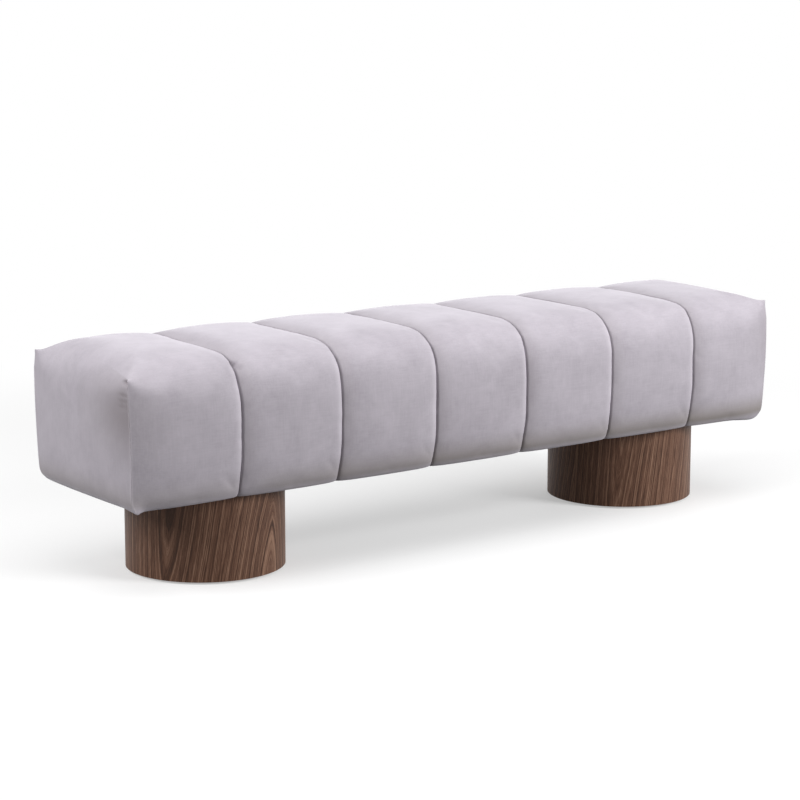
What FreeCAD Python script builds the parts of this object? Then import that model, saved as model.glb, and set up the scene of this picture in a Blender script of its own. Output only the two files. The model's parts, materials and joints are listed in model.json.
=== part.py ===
"""Upholstered dining bench: a long seat of seven velvet channels that stands on two walnut drums.

Inside the cover are wadding, foam and a screwed timber frame. Each drum is a bent plywood wall with a
walnut veneer, and bolts through its top plate into tee nuts in the base board of the frame.
The origin is on the floor under the middle of the bench: +X along the seat, -Y to the front, +Z up.
"""

import FreeCAD, Part
import math
import os

import Sketcher

Vector = FreeCAD.Vector
ALONG = Vector(1, 0, 0)
UPRIGHT = Vector(0, 0, 1)

# Counts
CHANNEL_COUNT = 7
BOLT_COUNT = 4
GLIDE_COUNT = 4
CLEAT_COUNT = 4
# Bolts and glides stand between the cleats, so many degrees round the drum
BOLT_TURN = 360 / CLEAT_COUNT / 2
BOLT_SIDE_SHARE = math.cos(math.radians(BOLT_TURN))

# Driving dimensions in millimetres, one cell of the sheet each
SIZES = {
    # Velvet cover and wadding
    "seat_length": 1580,  # corner seam to corner seam along the bench
    "seat_depth": 354,  # corner seam to corner seam from front to back
    "cloth_thickness": 1.5,  # velvet, and the dust cover that lies in the same plane
    "hem_width": 38,  # velvet turned in under the base board
    "wadding_edge": 12,  # wadding at the corner seams
    "wadding_top": 25,  # wadding over the foam at the crest of a channel
    "crown_front": 22,  # crest of a channel beyond the corner seams, front and back
    "channel_rise": 12,  # crest of a channel above the seams beside it
    "top_round": 72,  # turn from the front to the top
    "low_round": 28,  # turn from the front to the underside
    "front_bow": 4,  # bulge of the front between its two turns
    "top_bow": 4,  # bulge of the top from front to back
    "end_round": 60,  # length over which the top falls to the end
    "end_drop": 32,  # fall of the top at the end
    "corner_round": 25,  # turn from the front to the top at the corner seams
    "end_crown": 10,  # bulge of the end beyond its corner seams
    "end_crown_inset": 62,  # rim of the end over which that bulge rises
    # Foam
    "side_foam_thickness": 25,
    "top_foam_thickness": 100,
    "foam_round": 50,  # rounded upper edges of the top foam
    # Timber frame
    "board_thickness": 15,
    "rail_height": 122,
    "rail_thickness": 20,
    "deck_thickness": 12,
    "cross_rail_gap": 18,  # between the tee nuts of a drum and the cross rails beside them
    "corner_block_leg": 45,
    # Wood screws
    "screw_length": 40,
    "screw_diameter": 4,
    "screw_head_diameter": 8,
    "screw_head_height": 2.4,
    "screw_tip": 5,
    "rail_screw_spacing": 50,  # between the two screws of one joint
    # Drums
    "drum_inset": 260,  # drum's axis from the corner seams of its end
    "drum_diameter": 312,
    "drum_height": 169,
    "veneer_thickness": 0.8,
    "drum_wall_thickness": 12,
    "top_plate_thickness": 18,
    "base_ring_thickness": 18,
    "base_ring_width": 38,
    "cleat_width": 30,
    "cleat_depth": 25,
    # Bolts, washers and tee nuts
    "bolt_inset": 43,  # bolt's axis from the inside of the drum wall
    "bolt_diameter": 8,
    "bolt_length": 40,
    "bolt_head_rim": 3,  # head beyond the shank
    "bolt_head_height": 5,
    "socket_diameter": 5,
    "socket_depth": 3,
    "washer_rim": 8,  # washer beyond its hole
    "washer_thickness": 2,
    "tee_barrel_wall": 1.5,
    "tee_barrel_length": 10,
    "tee_flange_rim": 5.5,  # flange beyond the barrel
    "tee_flange_thickness": 1.5,
    # Nail-in glides, under the middle of the base ring
    "glide_diameter": 24,
    "glide_height": 4,
    "glide_chamfer": 1,
    "glide_pin_diameter": 3,
    "glide_pin_length": 12,
    # Staples of the dust cover
    "staple_width": 10,
    "staple_wire": 1,
    "staple_leg": 8,
    "staple_inset": 8,  # from the edge of the dust cover
    # Fits
    "fit_clearance": 0.15,  # radial play of bolts, screws and pins in their holes
    "overrun": 5,  # how far a cutting tool runs past the face it cuts
}

# Shape of one channel from seam to seam: places along its width and the rise reached there
CHANNEL_PLACE_SHARES = (0, 0.07, 0.22, 0.5, 0.78, 0.93, 1)
CHANNEL_RISE_SHARES = (0, 0.45, 0.85, 1, 0.85, 0.45, 0)
# Shape of an end channel from its crest to the corner seams: distance left of end_round, crown left of
# crown_front, fall of end_drop, and how much of the large top turn is left over the corner's small one
END_PLACE_SHARES = (1, 0.5, 0.2, 0)
END_CROWN_SHARES = (0.8, 0.45, 0.2, 0)
END_DROP_SHARES = (0.05, 0.31, 0.62, 1)
END_ROUND_SHARES = (0.8, 0.5, 0.25, 0)
# Shape of the bulge on the end: rise of end_crown and distance in of end_crown_inset
CAP_RISE_SHARES = (0, 0.7, 1)
CAP_INSET_SHARES = (0, 0.45, 1)
# Places of screws along half the rails, and of staples along half a side of the dust cover
BOARD_SCREW_SHARES = (-0.92, -0.7, -0.35, 0.35, 0.7, 0.92)
STAPLE_LONG_SHARES = (-0.88, -0.44, 0, 0.44, 0.88)
STAPLE_END_SHARES = (-0.75, 0.75)

doc = FreeCAD.newDocument("dining_bench")
sheet = doc.addObject("Spreadsheet::Sheet", "sizes")
for row, (alias, size) in enumerate(SIZES.items(), 1):
    sheet.set(f"A{row}", alias.replace("_", " "))
    sheet.set(f"B{row}", str(size))
    sheet.setAlias(f"B{row}", alias)
doc.recompute()

parts = []


# Levels and reaches that several pieces share, as expressions of the sheet

UNDERSIDE = "(sizes.glide_height + sizes.drum_height)"
BOARD_BOTTOM = f"({UNDERSIDE} + sizes.cloth_thickness)"
BOARD_TOP = f"({BOARD_BOTTOM} + sizes.board_thickness)"
RAIL_TOP = f"({BOARD_TOP} + sizes.rail_height)"
RAIL_MIDDLE = f"({BOARD_TOP} + sizes.rail_height / 2)"
DECK_TOP = f"({RAIL_TOP} + sizes.deck_thickness)"
FOAM_TOP = f"({DECK_TOP} + sizes.top_foam_thickness)"
CREST_TOP = f"({FOAM_TOP} + sizes.wadding_top + sizes.cloth_thickness)"

CORE_END = "(sizes.seat_length / 2 - sizes.cloth_thickness - sizes.wadding_edge)"
CORE_SIDE = "(sizes.seat_depth / 2 - sizes.cloth_thickness - sizes.wadding_edge)"
FRAME_END = f"({CORE_END} - sizes.side_foam_thickness)"
FRAME_SIDE = f"({CORE_SIDE} - sizes.side_foam_thickness)"
INNER_END = f"({FRAME_END} - sizes.rail_thickness)"
INNER_SIDE = f"({FRAME_SIDE} - sizes.rail_thickness)"
DUST_END = f"({FRAME_END} - sizes.hem_width)"
DUST_SIDE = f"({FRAME_SIDE} - sizes.hem_width)"

WALL_OUTSIDE = "(sizes.drum_diameter / 2 - sizes.veneer_thickness)"
WALL_INSIDE = f"({WALL_OUTSIDE} - sizes.drum_wall_thickness)"
PLATE_BOTTOM = f"({UNDERSIDE} - sizes.top_plate_thickness)"
RING_TOP = "(sizes.glide_height + sizes.base_ring_thickness)"
BOLT_REACH = f"({WALL_INSIDE} - sizes.bolt_inset)"
GLIDE_REACH = f"({WALL_INSIDE} - sizes.base_ring_width / 2)"
BOLT_HOLE = "(sizes.bolt_diameter / 2 + sizes.fit_clearance)"
TEE_BARREL = f"({BOLT_HOLE} + sizes.tee_barrel_wall)"
TEE_FLANGE = f"({TEE_BARREL} + sizes.tee_flange_rim)"
TEE_HOLE = f"({TEE_BARREL} + sizes.fit_clearance)"
PIN_HOLE = "(sizes.glide_pin_diameter / 2 + sizes.fit_clearance)"

DRUM_OFFSET = "(sizes.seat_length / 2 - sizes.drum_inset)"
DRUMS = {"left": f"(0 - {DRUM_OFFSET})", "right": DRUM_OFFSET}
TEE_SIDE = f"({BOLT_REACH} * {BOLT_SIDE_SHARE} + {TEE_FLANGE})"
CROSS_RAIL_OFFSET = f"({TEE_SIDE} + sizes.cross_rail_gap + sizes.rail_thickness / 2)"
CROSS_RAILS = [
    f"({DRUMS['left']} - {CROSS_RAIL_OFFSET})",
    f"({DRUMS['left']} + {CROSS_RAIL_OFFSET})",
    "0",
    f"({DRUMS['right']} - {CROSS_RAIL_OFFSET})",
    f"({DRUMS['right']} + {CROSS_RAIL_OFFSET})",
]


# Helpers

def value(expression):
    """The number that an expression of the sheet gives."""
    return float(sheet.evalExpression(expression))


def twice(expression):
    return f"2 * {expression}"


def minus(expression):
    return f"(0 - {expression})"


def facing(x, y, z, axis, angle):
    return FreeCAD.Placement(Vector(x, y, z), FreeCAD.Rotation(axis, angle))


def bind(obj, expressions):
    """Ties properties of an object to expressions of the sheet."""
    for name, expression in expressions.items():
        obj.setExpression(name, expression)


def place(obj, x="0", y="0", z="0", turn=0):
    """Ties the place of an object to expressions of the sheet, turned by so many degrees about Z."""
    obj.Placement = facing(0, 0, 0, UPRIGHT, turn)
    bind(obj, {"Placement.Base.x": x, "Placement.Base.y": y, "Placement.Base.z": z})


def keep(obj):
    """Lists a finished sub-part for writing, under its label."""
    parts.append(obj)
    return obj


def block(label, low, size):
    """A rectangular board with its lowest corner at low, both as expressions along X, Y and Z."""
    board = doc.addObject("Part::Box", label)
    bind(board, dict(zip(("Length", "Width", "Height"), size)))
    place(board, *low)
    return board


def centred_block(label, half_x, half_y, bottom, height):
    """A rectangular board centred on the middle of the bench."""
    return block(label, (minus(half_x), minus(half_y), bottom), (twice(half_x), twice(half_y), height))


def cut(label, base, *tools):
    """What is left of base when every tool has been taken out of it."""
    tool = tools[0]
    if len(tools) > 1:
        tool = doc.addObject("Part::Compound", f"{label}_tools")
        tool.Links = list(tools)
    left = doc.addObject("Part::Cut", label)
    left.Base = base
    left.Tool = tool
    return left


def copies(label, master, placements):
    """One object that holds a separate copy of the master's solid at each placement."""
    doc.recompute()
    group = doc.addObject("Part::Feature", label)
    group.Shape = Part.makeCompound([master.Shape.transformed(p.toMatrix(), True) for p in placements])
    return group


def origin_feature(body, role):
    return next(f for f in body.Origin.OriginFeatures if f.Role == role)


def sketch_on(body, role):
    sketch = body.newObject("Sketcher::SketchObject", f"{body.Name}_sketch")
    sketch.AttachmentSupport = [(origin_feature(body, role), "")]
    sketch.MapMode = "FlatFace"
    return sketch


def pin_point(sketch, geometry, vertex, x, y):
    """Dimensions one point of a sketch from the sketch's origin."""
    for direction, expression in (("DistanceX", x), ("DistanceY", y)):
        rule = Sketcher.Constraint(direction, -1, 1, geometry, vertex, value(expression))
        sketch.setExpression(f"Constraints[{sketch.addConstraint(rule)}]", expression)


def draw_polygon(sketch, points):
    """Closed outline of straight lines through points given as expressions."""
    corners = [Vector(value(x), value(y), 0) for x, y in points]
    first = sketch.GeometryCount
    for i, corner in enumerate(corners):
        sketch.addGeometry(Part.LineSegment(corner, corners[(i + 1) % len(corners)]), False)
    for i in range(len(corners)):
        following = first + (i + 1) % len(corners)
        sketch.addConstraint(Sketcher.Constraint("Coincident", first + i, 2, following, 1))
    for i, (x, y) in enumerate(points):
        pin_point(sketch, first + i, 1, x, y)


def draw_circle(sketch, radius, x="0", y="0"):
    circle = Part.Circle(Vector(value(x), value(y), 0), Vector(0, 0, 1), value(radius))
    index = sketch.addGeometry(circle, False)
    pin_point(sketch, index, 3, x, y)
    rule = Sketcher.Constraint("Radius", index, value(radius))
    sketch.setExpression(f"Constraints[{sketch.addConstraint(rule)}]", radius)


def pad(body, sketch, length, midplane=False):
    feature = body.newObject("PartDesign::Pad", f"{body.Name}_pad")
    feature.Profile = sketch
    feature.SideType = "Symmetric" if midplane else "One side"
    bind(feature, {"Length": length})
    doc.recompute()
    return feature


def ring_of(body, feature, count):
    """Repeats a feature evenly round the body's upright axis."""
    pattern = body.newObject("PartDesign::PolarPattern", f"{body.Name}_ring")
    pattern.Originals = [feature]
    pattern.Axis = (origin_feature(body, "Z_Axis"), [""])
    pattern.Angle = 360
    pattern.Occurrences = count
    body.Tip = pattern
    doc.recompute()


def turned(label, points, reach="0", count=1):
    """A turned piece: its half profile spun about an upright line at that reach, count times round Z."""
    body = doc.addObject("PartDesign::Body", label)
    body.AllowCompound = True
    sketch = sketch_on(body, "XZ_Plane")
    draw_polygon(sketch, [(f"({reach} + {x})", z) for x, z in points])
    top = points[-1][1]
    centre = Part.LineSegment(Vector(value(reach), 0, 0), Vector(value(reach), value(top), 0))
    line = sketch.addGeometry(centre, True)
    pin_point(sketch, line, 1, reach, "0")
    pin_point(sketch, line, 2, reach, top)
    doc.recompute()
    spin = body.newObject("PartDesign::Revolution", f"{label}_spin")
    spin.Profile = sketch
    spin.ReferenceAxis = (sketch, ["Axis0"])
    spin.Angle = 360
    doc.recompute()
    if count > 1:
        ring_of(body, spin, count)
    return body


def disc(label, height, outside, inside=None, holes=None):
    """A disc or ring round Z, up from Z 0; holes is (reach, radius, depth, count), drilled from below."""
    body = doc.addObject("PartDesign::Body", label)
    sketch = sketch_on(body, "XY_Plane")
    draw_circle(sketch, outside)
    if inside:
        draw_circle(sketch, inside)
    solid = pad(body, sketch, height)
    if holes:
        reach, radius, depth, count = holes
        marks = sketch_on(body, "XY_Plane")
        draw_circle(marks, radius, reach)
        drill = body.newObject("PartDesign::Pocket", f"{label}_holes")
        drill.Profile = marks
        drill.Reversed = True
        bind(drill, {"Length": depth})
        ring_of(body, drill, count)
        if body.Shape.Volume >= solid.Shape.Volume:
            raise RuntimeError(f"the holes of {label} cut nothing")
    return body


# Seat outlines, lofted into the channels

def circles_meet(centre_a, radius_a, centre_b, radius_b):
    """The upper of the two points where two circles of the Y-Z plane meet."""
    gap = centre_b - centre_a
    along = (radius_a**2 - radius_b**2 + gap.Length**2) / (2 * gap.Length)
    across = math.sqrt(radius_a**2 - along**2)
    unit = Vector(gap).normalize()
    side = Vector(0, -unit.z, unit.y)
    foot = centre_a + unit * along
    return max(foot + side * across, foot - side * across, key=lambda point: point.z)


def bow_radius(half_chord, bow):
    return (half_chord**2 + bow**2) / (2 * bow)


def towards(centre, point, radius):
    """The point of a circle that lies towards another point."""
    return centre + Vector(point - centre).normalize() * radius


def arc(centre, radius, start, end):
    return (start, towards(centre, (start + end) / 2, radius), end)


def rearward(point):
    """The same point at the back of the bench."""
    return Vector(point.x, -point.y, point.z)


def seat_outline(x, half, top, low, top_round, low_round):
    """Closed outline across the seat: flat below, with bowed front, top and back and round turns."""
    front_radius = bow_radius((top - low) / 2, value("sizes.front_bow"))
    top_radius = bow_radius(half, value("sizes.top_bow"))
    front_centre = Vector(0, front_radius - half, (top + low) / 2)
    top_centre = Vector(0, 0, top - top_radius)
    turn = circles_meet(front_centre, front_radius - top_round, top_centre, top_radius - top_round)
    low_level = low + low_round
    reach = math.sqrt((front_radius - low_round) ** 2 - (low_level - front_centre.z) ** 2)
    low_turn = Vector(0, front_centre.y - reach, low_level)

    under = Vector(0, low_turn.y, low)
    front_low = towards(front_centre, low_turn, front_radius)
    front_high = towards(front_centre, turn, front_radius)
    top_front = towards(top_centre, turn, top_radius)
    front_arcs = [
        arc(low_turn, low_round, under, front_low),
        arc(front_centre, front_radius, front_low, front_high),
        arc(turn, top_round, front_high, top_front),
    ]
    arcs = front_arcs + [(top_front, Vector(0, 0, top), rearward(top_front))]
    arcs += [tuple(rearward(point) for point in reversed(points)) for points in reversed(front_arcs)]
    edges = [Part.Arc(*points).toShape() for points in arcs]
    edges.append(Part.LineSegment(rearward(under), under).toShape())
    wire = Part.Wire(edges)
    wire.translate(Vector(x, 0, 0))
    return wire


def loft(label, wires):
    sections = []
    for number, wire in enumerate(wires, 1):
        section = doc.addObject("Part::Feature", f"{label}_section_{number}")
        section.Shape = wire
        sections.append(section)
    form = doc.addObject("Part::Loft", label)
    form.Sections = sections
    form.Solid = True
    return form


channel_pitch = value("sizes.seat_length") / CHANNEL_COUNT
crest_half = value("sizes.seat_depth / 2 + sizes.crown_front")
corner_half = value("sizes.seat_depth / 2")
crest_top = value(CREST_TOP)
underside = value(UNDERSIDE)
rise = value("sizes.channel_rise")
top_round = value("sizes.top_round")
corner_round = value("sizes.corner_round")
low_round = value("sizes.low_round")


def channel_outlines(skin, stations):
    """Outlines at some stations of a channel whose middle is at X 0, drawn in by a skin's thickness."""
    wires = []
    for place_share, rise_share in stations:
        sunk = rise * (1 - rise_share) + skin
        wires.append(
            seat_outline(
                channel_pitch * (place_share - 1 / 2),
                crest_half - sunk,
                crest_top - sunk,
                underside + skin,
                top_round - skin,
                low_round - skin,
            )
        )
    return wires


def end_outlines(skin):
    """Outlines of the right end channel from its seam to the corner seams."""
    stations = list(zip(CHANNEL_PLACE_SHARES, CHANNEL_RISE_SHARES))
    crest = CHANNEL_RISE_SHARES.index(max(CHANNEL_RISE_SHARES))
    wires = channel_outlines(skin, stations[: crest + 1])
    middle = value("sizes.seat_length / 2") - channel_pitch / 2
    for wire in wires:
        wire.translate(Vector(middle, 0, 0))
    corner_end = value("sizes.seat_length / 2") - skin
    for place_share, crown_share, drop_share, round_share in zip(
        END_PLACE_SHARES, END_CROWN_SHARES, END_DROP_SHARES, END_ROUND_SHARES
    ):
        wires.append(
            seat_outline(
                corner_end - value("sizes.end_round") * place_share,
                corner_half + value("sizes.crown_front") * crown_share - skin,
                crest_top - value("sizes.end_drop") * drop_share - skin,
                underside + skin,
                corner_round + (top_round - corner_round) * round_share - skin,
                low_round - skin,
            )
        )
    return wires


def cap_outlines(skin):
    """Outlines of the bulge on the right end, from the corner seams outwards."""
    wires = []
    for rise_share, inset_share in zip(CAP_RISE_SHARES, CAP_INSET_SHARES):
        inset = value("sizes.end_crown_inset") * inset_share + skin
        wires.append(
            seat_outline(
                value("sizes.seat_length / 2") + value("sizes.end_crown") * rise_share - skin,
                corner_half - inset,
                crest_top - value("sizes.end_drop") - inset,
                underside + inset,
                corner_round - skin,
                low_round - skin,
            )
        )
    return wires


def channel_form(label, skin):
    return loft(label, channel_outlines(skin, zip(CHANNEL_PLACE_SHARES, CHANNEL_RISE_SHARES)))


def end_form(label, skin):
    form = doc.addObject("Part::MultiFuse", label)
    form.Shapes = [loft(f"{label}_channel", end_outlines(skin)), loft(f"{label}_cap", cap_outlines(skin))]
    return form


def mirrored(label, source):
    twin = doc.addObject("Part::Mirroring", label)
    twin.Source = source
    twin.Normal = Vector(1, 0, 0)
    return twin


# Foam over the frame

def build_top_foam():
    body = doc.addObject("PartDesign::Body", "top_foam")
    sketch = sketch_on(body, "XY_Plane")
    corners = [(minus(CORE_END), minus(CORE_SIDE)), (CORE_END, minus(CORE_SIDE))]
    corners += [(CORE_END, CORE_SIDE), (minus(CORE_END), CORE_SIDE)]
    draw_polygon(sketch, corners)
    slab = pad(body, sketch, "sizes.top_foam_thickness")
    top = max(range(len(slab.Shape.Faces)), key=lambda i: slab.Shape.Faces[i].CenterOfMass.z)
    edges = body.newObject("PartDesign::Fillet", "top_foam_edges")
    edges.Base = (slab, [f"Face{top + 1}"])
    bind(edges, {"Radius": "sizes.foam_round"})
    place(body, z=DECK_TOP)
    return keep(body)


def build_side_foam():
    height = f"({DECK_TOP} - {BOARD_TOP})"
    thick = "sizes.side_foam_thickness"
    long_side = (twice(CORE_END), thick, height)
    short_side = (thick, twice(FRAME_SIDE), height)
    keep(block("front_foam", (minus(CORE_END), minus(CORE_SIDE), BOARD_TOP), long_side))
    keep(block("rear_foam", (minus(CORE_END), FRAME_SIDE, BOARD_TOP), long_side))
    keep(block("left_foam", (minus(CORE_END), minus(FRAME_SIDE), BOARD_TOP), short_side))
    keep(block("right_foam", (FRAME_END, minus(FRAME_SIDE), BOARD_TOP), short_side))


def build_cover(top_foam):
    """Velvet and wadding of every channel: the wadding fills what lies between the foam and the velvet."""
    cloth = value("sizes.cloth_thickness")
    sides = centred_block("core_sides", CORE_END, CORE_SIDE, BOARD_TOP, f"({DECK_TOP} - {BOARD_TOP})")
    foot = centred_block("core_foot", FRAME_END, FRAME_SIDE, BOARD_BOTTOM, "sizes.board_thickness")
    core = doc.addObject("Part::MultiFuse", "core")
    core.Shapes = [top_foam, sides, foot]
    below = f"({UNDERSIDE} - sizes.overrun)"
    opening = centred_block("hem_opening", DUST_END, DUST_SIDE, below, "(2 * sizes.overrun)")

    channel_outside, channel_fill = channel_form("channel_outside", 0), channel_form("channel_fill", cloth)
    channel_velvet = cut("channel_velvet", cut("channel_shell", channel_outside, channel_fill), opening)
    channel_wadding = cut("channel_wadding", channel_fill, core)
    for number in range(1, CHANNEL_COUNT - 1):
        x = channel_pitch * (number - (CHANNEL_COUNT - 1) / 2)
        there = [facing(x, 0, 0, UPRIGHT, 0)]
        keep(copies(f"velvet_channel_{number}", channel_velvet, there))
        keep(copies(f"wadding_channel_{number}", channel_wadding, there))

    end_outside, end_fill = end_form("end_outside", 0), end_form("end_fill", cloth)
    end_velvet = keep(cut("velvet_end_right", cut("end_shell", end_outside, end_fill), opening))
    end_wadding = keep(cut("wadding_end_right", end_fill, core))
    keep(mirrored("velvet_end_left", end_velvet))
    keep(mirrored("wadding_end_left", end_wadding))


# Wood screws and the holes they sit in

def screw(label, play):
    """A countersunk screw pointing up from its head at Z 0, grown by some radial play."""
    head = f"(sizes.screw_head_diameter / 2 + {play})"
    shank = f"(sizes.screw_diameter / 2 + {play})"
    shoulder = "(sizes.screw_length - sizes.screw_tip)"
    profile = [("0", "0"), (head, "0"), (shank, "sizes.screw_head_height"), (shank, shoulder)]
    return turned(label, profile + [("0", f"(sizes.screw_length + {play})")])


def rail_screw_places():
    """Through the long rails into the ends of the end rails and cross rails, two to a joint."""
    end_rail = value(f"{INNER_END} + sizes.rail_thickness / 2")
    joints = [-end_rail, *[value(x) for x in CROSS_RAILS], end_rail]
    outside, middle = value(FRAME_SIDE), value(RAIL_MIDDLE)
    spread = value("sizes.rail_screw_spacing / 2")
    places = []
    for x in joints:
        for z in (middle - spread, middle + spread):
            places.append(facing(x, -outside, z, ALONG, -90))
            places.append(facing(x, outside, z, ALONG, 90))
    return places


def edge_screw_places(z, angle):
    """Along the middle of both long rails, at one level."""
    line = value(f"{FRAME_SIDE} - sizes.rail_thickness / 2")
    xs = [value(FRAME_END) * share for share in BOARD_SCREW_SHARES]
    return [facing(x, y, z, ALONG, angle) for x in xs for y in (-line, line)]


def build_screws():
    """Keeps the three groups of screws and returns the matching groups of holes."""
    steel, hole = screw("screw", "0"), screw("screw_hole", "sizes.fit_clearance")
    groups = {
        "rail_screws": rail_screw_places(),
        "board_screws": edge_screw_places(value(BOARD_BOTTOM), 0),
        "deck_screws": edge_screw_places(value(DECK_TOP), 180),
    }
    holes = {}
    for label, places in groups.items():
        keep(copies(label, steel, places))
        holes[label] = copies(f"{label}_holes", hole, places)
    return holes


# Staples that hold the dust cover

def staple(label, play):
    """A staple seen from the front, its crown under Z 0 and its two legs up."""
    half, wire = f"(sizes.staple_width / 2 + {play})", f"(sizes.staple_wire + 2 * {play})"
    top = f"(sizes.staple_leg + {play})"
    low = minus("sizes.staple_wire")
    body = doc.addObject("PartDesign::Body", label)
    sketch = sketch_on(body, "XZ_Plane")
    inner = f"({half} - {wire})"
    outline = [(minus(half), low), (half, low), (half, top), (inner, top), (inner, "0"), (minus(inner), "0")]
    draw_polygon(sketch, outline + [(minus(inner), top), (minus(half), top)])
    pad(body, sketch, wire, midplane=True)
    return body


def staple_places():
    level = value(UNDERSIDE)
    line = value(f"{DUST_SIDE} - sizes.staple_inset")
    end = value(f"{DUST_END} - sizes.staple_inset")
    clear = value(f"{DRUM_OFFSET} - sizes.drum_diameter / 2")
    places = [facing(clear * s, y, level, UPRIGHT, 0) for s in STAPLE_LONG_SHARES for y in (-line, line)]
    places += [facing(x, line * s, level, UPRIGHT, 90) for s in STAPLE_END_SHARES for x in (-end, end)]
    return places


# Timber frame

def build_frame(holes, bolt_holes, staple_holes):
    floor = centred_block("board_blank", FRAME_END, FRAME_SIDE, BOARD_BOTTOM, "sizes.board_thickness")
    keep(cut("base_board", floor, bolt_holes["base_board"], holes["board_screws"], staple_holes))
    deck = centred_block("deck_blank", FRAME_END, FRAME_SIDE, RAIL_TOP, "sizes.deck_thickness")
    keep(cut("seat_deck", deck, holes["deck_screws"]))

    long_rail = (twice(FRAME_END), "sizes.rail_thickness", "sizes.rail_height")
    for label, y in (("front_rail", minus(FRAME_SIDE)), ("rear_rail", INNER_SIDE)):
        blank = block(f"{label}_blank", (minus(FRAME_END), y, BOARD_TOP), long_rail)
        keep(cut(label, blank, *holes.values()))

    short_rail = ("sizes.rail_thickness", twice(INNER_SIDE), "sizes.rail_height")
    across = {f"cross_rail_{n}": f"({x} - sizes.rail_thickness / 2)" for n, x in enumerate(CROSS_RAILS, 1)}
    across.update({"left_end_rail": minus(FRAME_END), "right_end_rail": INNER_END})
    for label, x in across.items():
        blank = block(f"{label}_blank", (x, minus(INNER_SIDE), BOARD_TOP), short_rail)
        keep(cut(label, blank, holes["rail_screws"]))


def build_corner_blocks():
    """Triangular glue blocks in the four inner corners of the frame."""
    body = doc.addObject("PartDesign::Body", "corner_block")
    sketch = sketch_on(body, "XY_Plane")
    draw_polygon(sketch, [("0", "0"), ("sizes.corner_block_leg", "0"), ("0", "sizes.corner_block_leg")])
    pad(body, sketch, "sizes.rail_height")
    x, y, z = value(INNER_END), value(INNER_SIDE), value(BOARD_TOP)
    corners = ((-x, -y, 0), (x, -y, 90), (x, y, 180), (-x, y, 270))
    keep(copies("corner_blocks", body, [facing(cx, cy, z, UPRIGHT, angle) for cx, cy, angle in corners]))


# Bolts of the drums, and the holes that they pass through

def bolt_profiles():
    """Half profiles of a bolt, its washer and its tee nut, as distance from the bolt's axis and level."""
    shank = "sizes.bolt_diameter / 2"
    seat = f"({PLATE_BOTTOM} - sizes.washer_thickness)"
    head_low = f"({seat} - sizes.bolt_head_height)"
    socket_top = f"({head_low} + sizes.socket_depth)"
    head, socket = f"({shank} + sizes.bolt_head_rim)", "sizes.socket_diameter / 2"
    tip = f"({seat} + sizes.bolt_length)"
    bolt = [("0", socket_top), (socket, socket_top), (socket, head_low), (head, head_low), (head, seat)]
    bolt += [(shank, seat), (shank, tip), ("0", tip)]
    rim = f"({BOLT_HOLE} + sizes.washer_rim)"
    washer = [(BOLT_HOLE, seat), (rim, seat), (rim, PLATE_BOTTOM), (BOLT_HOLE, PLATE_BOTTOM)]
    flange_top = f"({BOARD_TOP} + sizes.tee_flange_thickness)"
    barrel_low = f"({BOARD_TOP} - sizes.tee_barrel_length)"
    tee_nut = [(BOLT_HOLE, barrel_low), (TEE_BARREL, barrel_low), (TEE_BARREL, BOARD_TOP)]
    tee_nut += [(TEE_FLANGE, BOARD_TOP), (TEE_FLANGE, flange_top), (BOLT_HOLE, flange_top)]
    return {"bolts": bolt, "washers": washer, "tee_nuts": tee_nut}


def bolt_drills(label, radius, bottom, thickness):
    """Drills for the bolts of both drums through a layer of that thickness."""
    low, high = f"({bottom} - sizes.overrun)", f"({bottom} + {thickness} + sizes.overrun)"
    profile = [("0", low), (radius, low), (radius, high), ("0", high)]
    drill = turned(f"{label}_drill", profile, BOLT_REACH, BOLT_COUNT)
    places = [facing(value(x), 0, 0, UPRIGHT, BOLT_TURN) for x in DRUMS.values()]
    return copies(f"{label}_drills", drill, places)


# Drums

def glide_profile():
    """Half profile of a plastic glide and the pin that nails it up into the base ring."""
    foot, pin = "sizes.glide_diameter / 2", "sizes.glide_pin_diameter / 2"
    tread = f"({foot} - sizes.glide_chamfer)"
    top = "sizes.glide_height"
    pin_top = f"({top} + sizes.glide_pin_length)"
    profile = [("0", "0"), (tread, "0"), (foot, "sizes.glide_chamfer"), (foot, top), (pin, top)]
    return profile + [(pin, pin_top), ("0", pin_top)]


def build_cleat():
    """An upright glue block between the base ring and the top plate, shaped to the wall."""
    height = f"({PLATE_BOTTOM} - {RING_TOP})"
    face = f"({WALL_INSIDE} - sizes.cleat_depth)"
    size = ("(sizes.cleat_depth + sizes.overrun)", "sizes.cleat_width", height)
    blank = block("cleat_blank", (face, "(0 - sizes.cleat_width / 2)", RING_TOP), size)
    bore = doc.addObject("Part::Cylinder", "cleat_bore")
    bind(bore, {"Radius": WALL_INSIDE, "Height": height})
    place(bore, z=RING_TOP)
    cleat = doc.addObject("Part::Common", "cleat")
    cleat.Base = blank
    cleat.Tool = bore
    return cleat


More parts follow.
